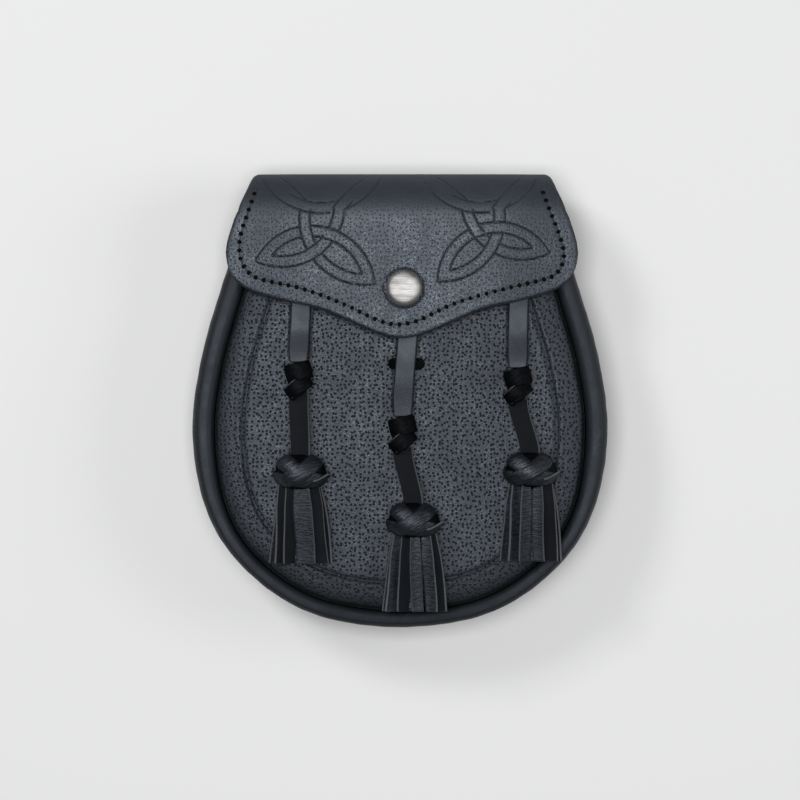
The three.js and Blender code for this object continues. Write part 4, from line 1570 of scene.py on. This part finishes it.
@dataclass
class Tassel:
    """One tassel: strap, knot, strap, woven head and skirt, laid on the front."""

    side: str
    form: PouchForm
    flap: Flap
    finishes: Finishes
    strap_across: float
    strips: tuple[Strip, ...]
    lean: float = 0.0
    strap_width: float = PouchForm.STRAP_WIDTH
    strap_wall: float = 1.6
    strip_wall: float = 1.3

    def __post_init__(self) -> None:
        """Reads where the frame has its pieces."""
        self.knot_low, self.knot_high = node_box(f"{self.side}_strap_knot")
        self.head_low, self.head_high = node_box(f"{self.side}_tassel_head")
        self.skirt_low, self.skirt_high = node_box(f"{self.side}_tassel_skirt")
        self.knot = (self.knot_low + self.knot_high) / 2
        self.head = (self.head_low + self.head_high) / 2
        self.bed = self.head_low[2]

    def upper_strap(self) -> None:
        """The strap from under the flap down to the knot."""
        share = np.linspace(0, 1, 41)
        x = blend(self.strap_across, self.knot[0], smooth(share))
        top = self.flap.edge_up(self.strap_across) + self.form.STRAP_TUCK
        up = blend(top, self.knot_high[1] - 1.5, share)
        lying = self.form.face(x, up) + CLEARANCE + self.strap_wall / 2
        out = blend(lying, self.knot[2], smooth(2.5 * share - 1.5))
        narrow = self.strap_width * (1 - 0.1 * smooth((share - 0.85) / 0.15))
        twist = np.radians(self.lean) * smooth((share - 0.5) / 0.5)
        widths = np.stack([narrow * np.cos(twist), narrow * 0, narrow * np.sin(twist)], axis=-1)
        piece = thong(f"{self.side}_upper_strap", np.stack([x, up, out], axis=-1), widths, self.strap_wall,
                      self.finishes, THONG, KNOT_EDGE)
        dress(piece, [f"{self.side}_strap_upper"])

    def lower_strap(self) -> None:
        """The strap from the knot to the head, its flesh side showing."""
        share = np.linspace(0, 1, 31)
        x = blend(self.knot[0], self.head[0], smooth(share))
        up = blend(self.knot_low[1] + 2.5, self.head_high[1] - 1.5, share)
        out = blend(self.knot[2], self.head[2], smooth(share)) + 0.4 * np.sin(math.pi * share)
        turn = np.radians(10 + 12 * share)
        widths = np.stack([np.cos(turn), share * 0, np.sin(turn)], axis=-1) * self.strap_width
        piece = thong(f"{self.side}_lower_strap", np.stack([x, up, out], axis=-1), widths, self.strap_wall,
                      self.finishes, THONG_FLESH, crown=0.3)
        dress(piece, [f"{self.side}_strap_lower"])

    def wrap(
        self, name: str, radii: Sequence[float], lift: float, tilt: float, width: float,
    ) -> Piece:
        """One turn of the strap round the knot.

        Args:
            name: The object's name.
            radii: Half its size across and out.
            lift: How far above the knot's middle it lies.
            tilt: How far its right side stands above its left.
            width: Its width.

        Returns:
            The turn as a closed band.
        """
        turn = np.linspace(0, math.tau, 49)
        centres = np.stack([
            self.knot[0] + radii[0] * np.cos(turn),
            self.knot[1] + lift + tilt * np.cos(turn),
            self.knot[2] + radii[1] * np.sin(turn),
        ], axis=-1)
        slant = math.atan2(tilt, radii[0])
        widths = np.tile([-width * math.sin(slant), width * math.cos(slant), 0], (len(turn), 1))
        return thong(name, centres, widths, self.strap_wall, self.finishes, DARK_THONG, KNOT_EDGE,
                     crown=0.45, closed=True, steps=48)

    def strap_knot(self) -> None:
        """The overhand knot: two turns of the strap round a core, and its tucked end."""
        size = (self.knot_high - self.knot_low) / 2
        reach = (size[0] * 0.86 - self.strap_wall / 2, size[2] - self.strap_wall / 2)
        top = self.wrap("turn_top", (reach[0], reach[1]), size[1] * 0.36, 1.1, 7.4)
        low = self.wrap("turn_low", (reach[0] * 0.86, reach[1] * 0.9), -size[1] * 0.38, 3.0, 6.4)
        share = np.linspace(0, 1, 21)
        cross = np.stack([
            self.knot[0] + blend(-reach[0] * 0.95, reach[0] * 0.75, share),
            self.knot[1] + blend(-size[1] * 0.72, size[1] * 0.05, share),
            self.knot[2] + reach[1] * (0.5 + 0.55 * np.sin(math.pi * share)),
        ], axis=-1)
        slant = math.radians(38)
        widths = np.tile([-5.6 * math.sin(slant), 5.6 * math.cos(slant), 0], (len(share), 1))
        over = thong("turn_over", cross, widths, self.strap_wall, self.finishes, DARK_THONG, crown=0.6)
        core = self.ball("knot_core", self.knot, size * (0.78, 0.9, 0.72), 0.05)
        piece = join(f"{self.side}_knot", [top, low, over, core])
        dress(piece, [f"{self.side}_strap_knot"])

    def ball(self, name: str, centre: Points, radii: Points, dent: float) -> Piece:
        """A dented ball.

        Args:
            name: The object's name.
            centre: Its middle in millimetres across, up and out.
            radii: Half its size each way.
            dent: How deep its dents are, as a share of its radius.

        Returns:
            The ball.
        """
        piece = add_primitive(bpy.ops.mesh.primitive_uv_sphere_add, segments=32, ring_count=20, radius=1)
        piece.name = name
        unit = corners(piece)
        x, y, z = unit.T
        swell = 1 - dent * (0.5 + 0.5 * np.sin(5 * x + 4 * y * z + 2 * y))
        spot = np.asarray(centre) + unit * np.asarray(radii) * swell[:, None]
        set_corners(piece, framed(*spot.T))
        activate(piece)
        bpy.ops.object.shade_smooth()
        self.finishes.put(piece, DARK_THONG)
        return piece

    def plait(
        self, name: str, axis: Sequence[float], offset: float, half: float, lift: float, phase: float,
    ) -> Piece:
        """One wide band of the woven head, closed round it.

        Args:
            name: The object's name.
            axis: The way that the band turns about.
            offset: How far from the ball's middle it runs, in radians.
            half: Half its width in radians.
            lift: How far it swings over and under its neighbours, as a share of the radius.
            phase: Where it is highest, in radians.

        Returns:
            The band.
        """
        dark = {}
        pole = Vector(axis).normalized()
        east = pole.cross(Vector((0.01, 0.02, 1))).normalized()
        north = pole.cross(east)
        radii = (self.head_high - self.head_low) / 2 * (1.05, 1.2, 1)

        def place(across: np.ndarray, length: np.ndarray) -> Points:
            """A place on the band's outer face.

            Args:
                across: Shares of the way across.
                length: Shares of the way along.

            Returns:
                One row of metres for each place.
            """
            turn = math.tau * length
            side = across * 2 - 1
            slope = offset + side * half
            # Painted shade: each band darkens towards its borders, where it meets its neighbours.
            dark["lines"] = 0.95 * side ** 4
            ring = np.cos(turn)[:, None] * np.array(east) + np.sin(turn)[:, None] * np.array(north)
            reach = 0.96 + lift * np.cos(2 * turn - phase) - 0.055 * side ** 4
            unit = np.cos(slope)[:, None] * ring + np.sin(slope)[:, None] * np.array(pole)
            spot = self.head + unit * reach[:, None] * radii
            return framed(*spot.T)

        piece = sheet(name, 72, 16, place)
        mark(piece, dark["lines"])
        tidy(piece)
        face_away(piece, self.head)
        self.finishes.put(piece, WOVEN_THONG, KNOT_EDGE)
        thicken(piece, 1.2, -1, 0.25, rim_slot=1)
        return piece

    def woven_head(self) -> None:
        """The woven ball: a low band, two bands that cross above it, and a loose end."""
        radii = (self.head_high - self.head_low) / 2
        core = self.ball("head_core", self.head, radii * (0.94, 1.06, 0.9), 0.02)
        low = self.plait("plait_low", (0.12, 1, 0.1), -0.42, 0.4, 0.015, 0.0)
        left = self.plait("plait_left", (0.62, 0.78, 0.2), 0.18, 0.42, 0.025, 0.6)
        right = self.plait("plait_right", (-0.66, 0.74, 0.25), 0.2, 0.42, 0.025, 2.4)
        share = np.linspace(0, 1, 15)
        end = np.stack([
            self.head[0] + blend(radii[0] * 0.5, radii[0] * 1.06, share),
            self.head[1] + blend(-radii[1] * 0.55, -radii[1] * 0.12, share ** 1.4),
            self.head[2] + blend(radii[2] * 0.72, radii[2] * 0.62, share),
        ], axis=-1)
        widths = np.tile([-0.8, 1.1, 1.5], (len(share), 1))
        loose = thong("loose_end", end, widths, 1.0, self.finishes, WOVEN_THONG, steps=14)
        piece = join(f"{self.side}_woven_head", [core, low, left, right, loose])
        dress(piece, [f"{self.side}_tassel_head"])

    def skirt(self) -> None:
        """The skirt: leather strips, light at their cut edges, spreading from under the head."""
        share = np.linspace(0, 1, 31)
        root_up, tip_up = self.skirt_high[1] + 2.2, self.skirt_low[1]
        pieces = []
        for count, strip in enumerate(self.strips):
            spread = share ** 0.85
            sway = 0.35 * np.sin(share * 5 + count * 1.7) * share
            out_root = self.head[2] + (strip.layer - 1.6) * 2.0
            out_tip = self.bed + 1.1 + strip.layer * 1.9
            out = blend(out_root, out_tip, smooth(share)) + 0.5 * np.sin(share * 6.5 + count) * share
            centres = np.stack([
                self.head[0] + blend(strip.root, strip.tip, spread) + sway,
                blend(root_up, blend(root_up, tip_up, strip.length), share),
                out,
            ], axis=-1)
            turn = np.radians(strip.turn) * blend(0.4, 1, share)
            wide = strip.width * blend(0.8, 1.0, smooth(share * 3))
            widths = np.stack([wide * np.cos(turn), share * 0, wide * np.sin(turn)], axis=-1)
            face = THONG_FLESH if strip.flesh else WRINKLED_THONG
            pieces.append(thong(f"strip_{count}", centres, widths, self.strip_wall, self.finishes, face,
                                crown=0.25))
        piece = join(f"{self.side}_skirt", pieces)
        dress(piece, [f"{self.side}_tassel_skirt"])


# Belt loops


@dataclass
class BeltLoop:
    """One belt loop on the back: a strap on two sewn feet."""

    side: str
    finishes: Finishes
    wall: float = 2.2
    foot: float = 8.0
    ramp: float = 6.0

    def __post_init__(self) -> None:
        """Reads where the frame has the loop."""
        self.low, self.high = node_box(f"belt_loop_{self.side}")
        self.middle = (self.low + self.high) / 2
        self.half = (self.high[1] - self.low[1]) / 2
        self.half_width = (self.high[0] - self.low[0]) / 2

    def strap(self) -> None:
        """The loop's strap, its middle standing off the back."""
        up = np.linspace(-self.half, self.half, 81)
        rise = smooth((self.half - self.foot - np.abs(up)) / self.ramp)
        out = blend(self.high[2] - self.wall / 2, self.low[2] + self.wall / 2, rise)
        centres = np.stack([up * 0 + self.middle[0], self.middle[1] + up, out], axis=-1)
        widths = np.tile([2 * self.half_width, 0, 0], (len(up), 1))
        piece = thong(f"{self.side}_belt_loop", centres, widths, self.wall, self.finishes, SMOOTH_HIDE,
                      SMOOTH_HIDE, steps=64)
        dress(piece, [f"belt_loop_{self.side}"])

    def stitches(self, stitcher: Stitcher) -> None:
        """A box of stitches on each foot.

        Args:
            stitcher: The one who sews them.
        """
        rows = []
        for end in (-1, 1):
            reach = self.half_width - 2
            near, far = end * (self.half - self.foot + 1.2), end * (self.half - 1.6)
            box = [(-reach, near), (reach, near), (reach, far), (-reach, far), (-reach, near)]
            for start, stop in zip(box, box[1:]):
                line = np.array([start, stop]) + self.middle[:2]
                spots, ways = sew_line(line, 2.9)
                ways = np.column_stack([ways, np.zeros(len(ways))])
                outs = np.tile([0, 0, -1.0], (len(spots), 1))
                places = framed(*spots.T, self.high[2] - self.wall - 0.05)
                rows.append(stitcher.row("box", places, ways, outs))
        piece = join(f"{self.side}_loop_stitches", rows)
        self.finishes.put(piece, THREAD)
        dress(piece)


# The studio


@dataclass
class Studio:
    """The pale floor, the soft lights and the camera."""

    finishes: Finishes
    lens: float = 150.0
    camera_out: float = 1.44
    lights: tuple[tuple[str, tuple[float, float, float], float, float], ...] = (
        ("key", (-0.1, 0.0, 1.8), 0.7, 22.5),
        ("left", (-0.8, 0.75, 1.15), 0.4, 7.0),
        ("right", (1.1, 0.1, 0.8), 0.6, 4.2),
    )

    def floor(self) -> None:
        """A wide pale floor just below the object."""
        floor = add_primitive(bpy.ops.mesh.primitive_plane_add, size=6)
        floor.name = "studio_floor"
        self.finishes.put(floor, Paper())

    def light(self) -> None:
        """Soft area lights round the camera and an even pale sky."""
        for name, place, size, power in self.lights:
            lamp = bpy.data.lights.new(name, "AREA")
            lamp.size = size
            lamp.energy = power
            holder = bpy.data.objects.new(name, lamp)
            holder.location = place
            holder.rotation_euler = (-Vector(place)).to_track_quat("-Z", "Y").to_euler()
            bpy.context.scene.collection.objects.link(holder)
        world = bpy.context.scene.world or bpy.data.worlds.new("studio")
        bpy.context.scene.world = world
        world.use_nodes = True
        sky = world.node_tree.nodes["Background"]
        sky.inputs["Color"].default_value = (0.93, 0.96, 1.0, 1)
        sky.inputs["Strength"].default_value = 0.09
        bpy.context.scene.view_settings.view_transform = "Standard"

    def camera(self) -> None:
        """A long lens straight above the front, framing what the photograph frames."""
        camera = bpy.data.cameras.new("camera")
        camera.lens = self.lens
        camera.clip_start = 0.05
        holder = bpy.data.objects.new("camera", camera)
        holder.location = (0, 0, self.camera_out)
        bpy.context.scene.collection.objects.link(holder)
        bpy.context.scene.camera = holder


LEFT_STRIPS = (
    Strip(-6.5, -10.5, 5.5, 0, -20), Strip(0, -2, 8, 0), Strip(6, 9, 6, 0, 15),
    Strip(-7.2, -8.4, 5.4, 1.6, -38, True), Strip(-4.0, -4.6, 5.4, 1.9, -34, True),
    Strip(5.2, 8.2, 6.5, 1.6, 14, True), Strip(0.4, 2.1, 8.0, 2.7, 14),
    Strip(6.8, 11.5, 4.5, 0.8, 35, True),
)
CENTRE_STRIPS = (
    Strip(-6.5, -10.0, 6, 0, -20), Strip(0, 0, 8, 0), Strip(6, 10, 6, 0, 15),
    Strip(-6.0, -9.4, 5.6, 1.5, -38), Strip(-2.8, -4.2, 5.4, 1.9, -30, True),
    Strip(0.4, 1.6, 4.8, 2.8, -6), Strip(5.0, 7.4, 5.2, 2.4, 26), Strip(7.6, 12.2, 4.6, 1.2, 34, True),
)
RIGHT_STRIPS = (
    Strip(-6.5, -9.5, 6, 0, -20), Strip(0, 0, 8, 0), Strip(6, 10, 6, 0, 15),
    Strip(-5.6, -7.0, 5.0, 1.5, -38), Strip(-1.8, -2.2, 4.8, 2.8, -22), Strip(3.0, 3.4, 4.8, 2.5, 20),
    Strip(6.8, 8.6, 6.2, 1.7, 28, True), Strip(7.6, 11.6, 4.5, 0.8, 36, True),
)


def main() -> None:
    """Builds every sub-assembly in order."""
    logging.basicConfig(level=logging.INFO, format="%(name)s %(message)s")
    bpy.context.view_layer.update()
    finishes = Finishes()
    form = PouchForm()
    flap = Flap(form, finishes)
    body = PouchBody(form, finishes, flap.edge_up)
    for build in (body.gusset, body.front_panel, body.back_panel):
        build()
    stitcher = Stitcher(3.1, 0.55)
    flap.leather()
    flap.stitches(stitcher)
    flap.stud_cap()
    flap.stud_post()
    skirts = ((LEFT_STRIPS, 6.0), (CENTRE_STRIPS, -5.0), (RIGHT_STRIPS, 5.0))
    for (side, share), (strips, lean) in zip(form.STRAPS, skirts):
        tassel = Tassel(side, form, flap, finishes, share * form.HALF_WIDTH, strips, lean)
        for build in (tassel.upper_strap, tassel.strap_knot, tassel.lower_strap):
            build()
        tassel.woven_head()
        tassel.skirt()
    for side in ("left", "right"):
        loop = BeltLoop(side, finishes)
        loop.strap()
        loop.stitches(stitcher)
    studio = Studio(finishes)
    studio.floor()
    studio.light()
    studio.camera()


if __name__ == "__main__":
    main()
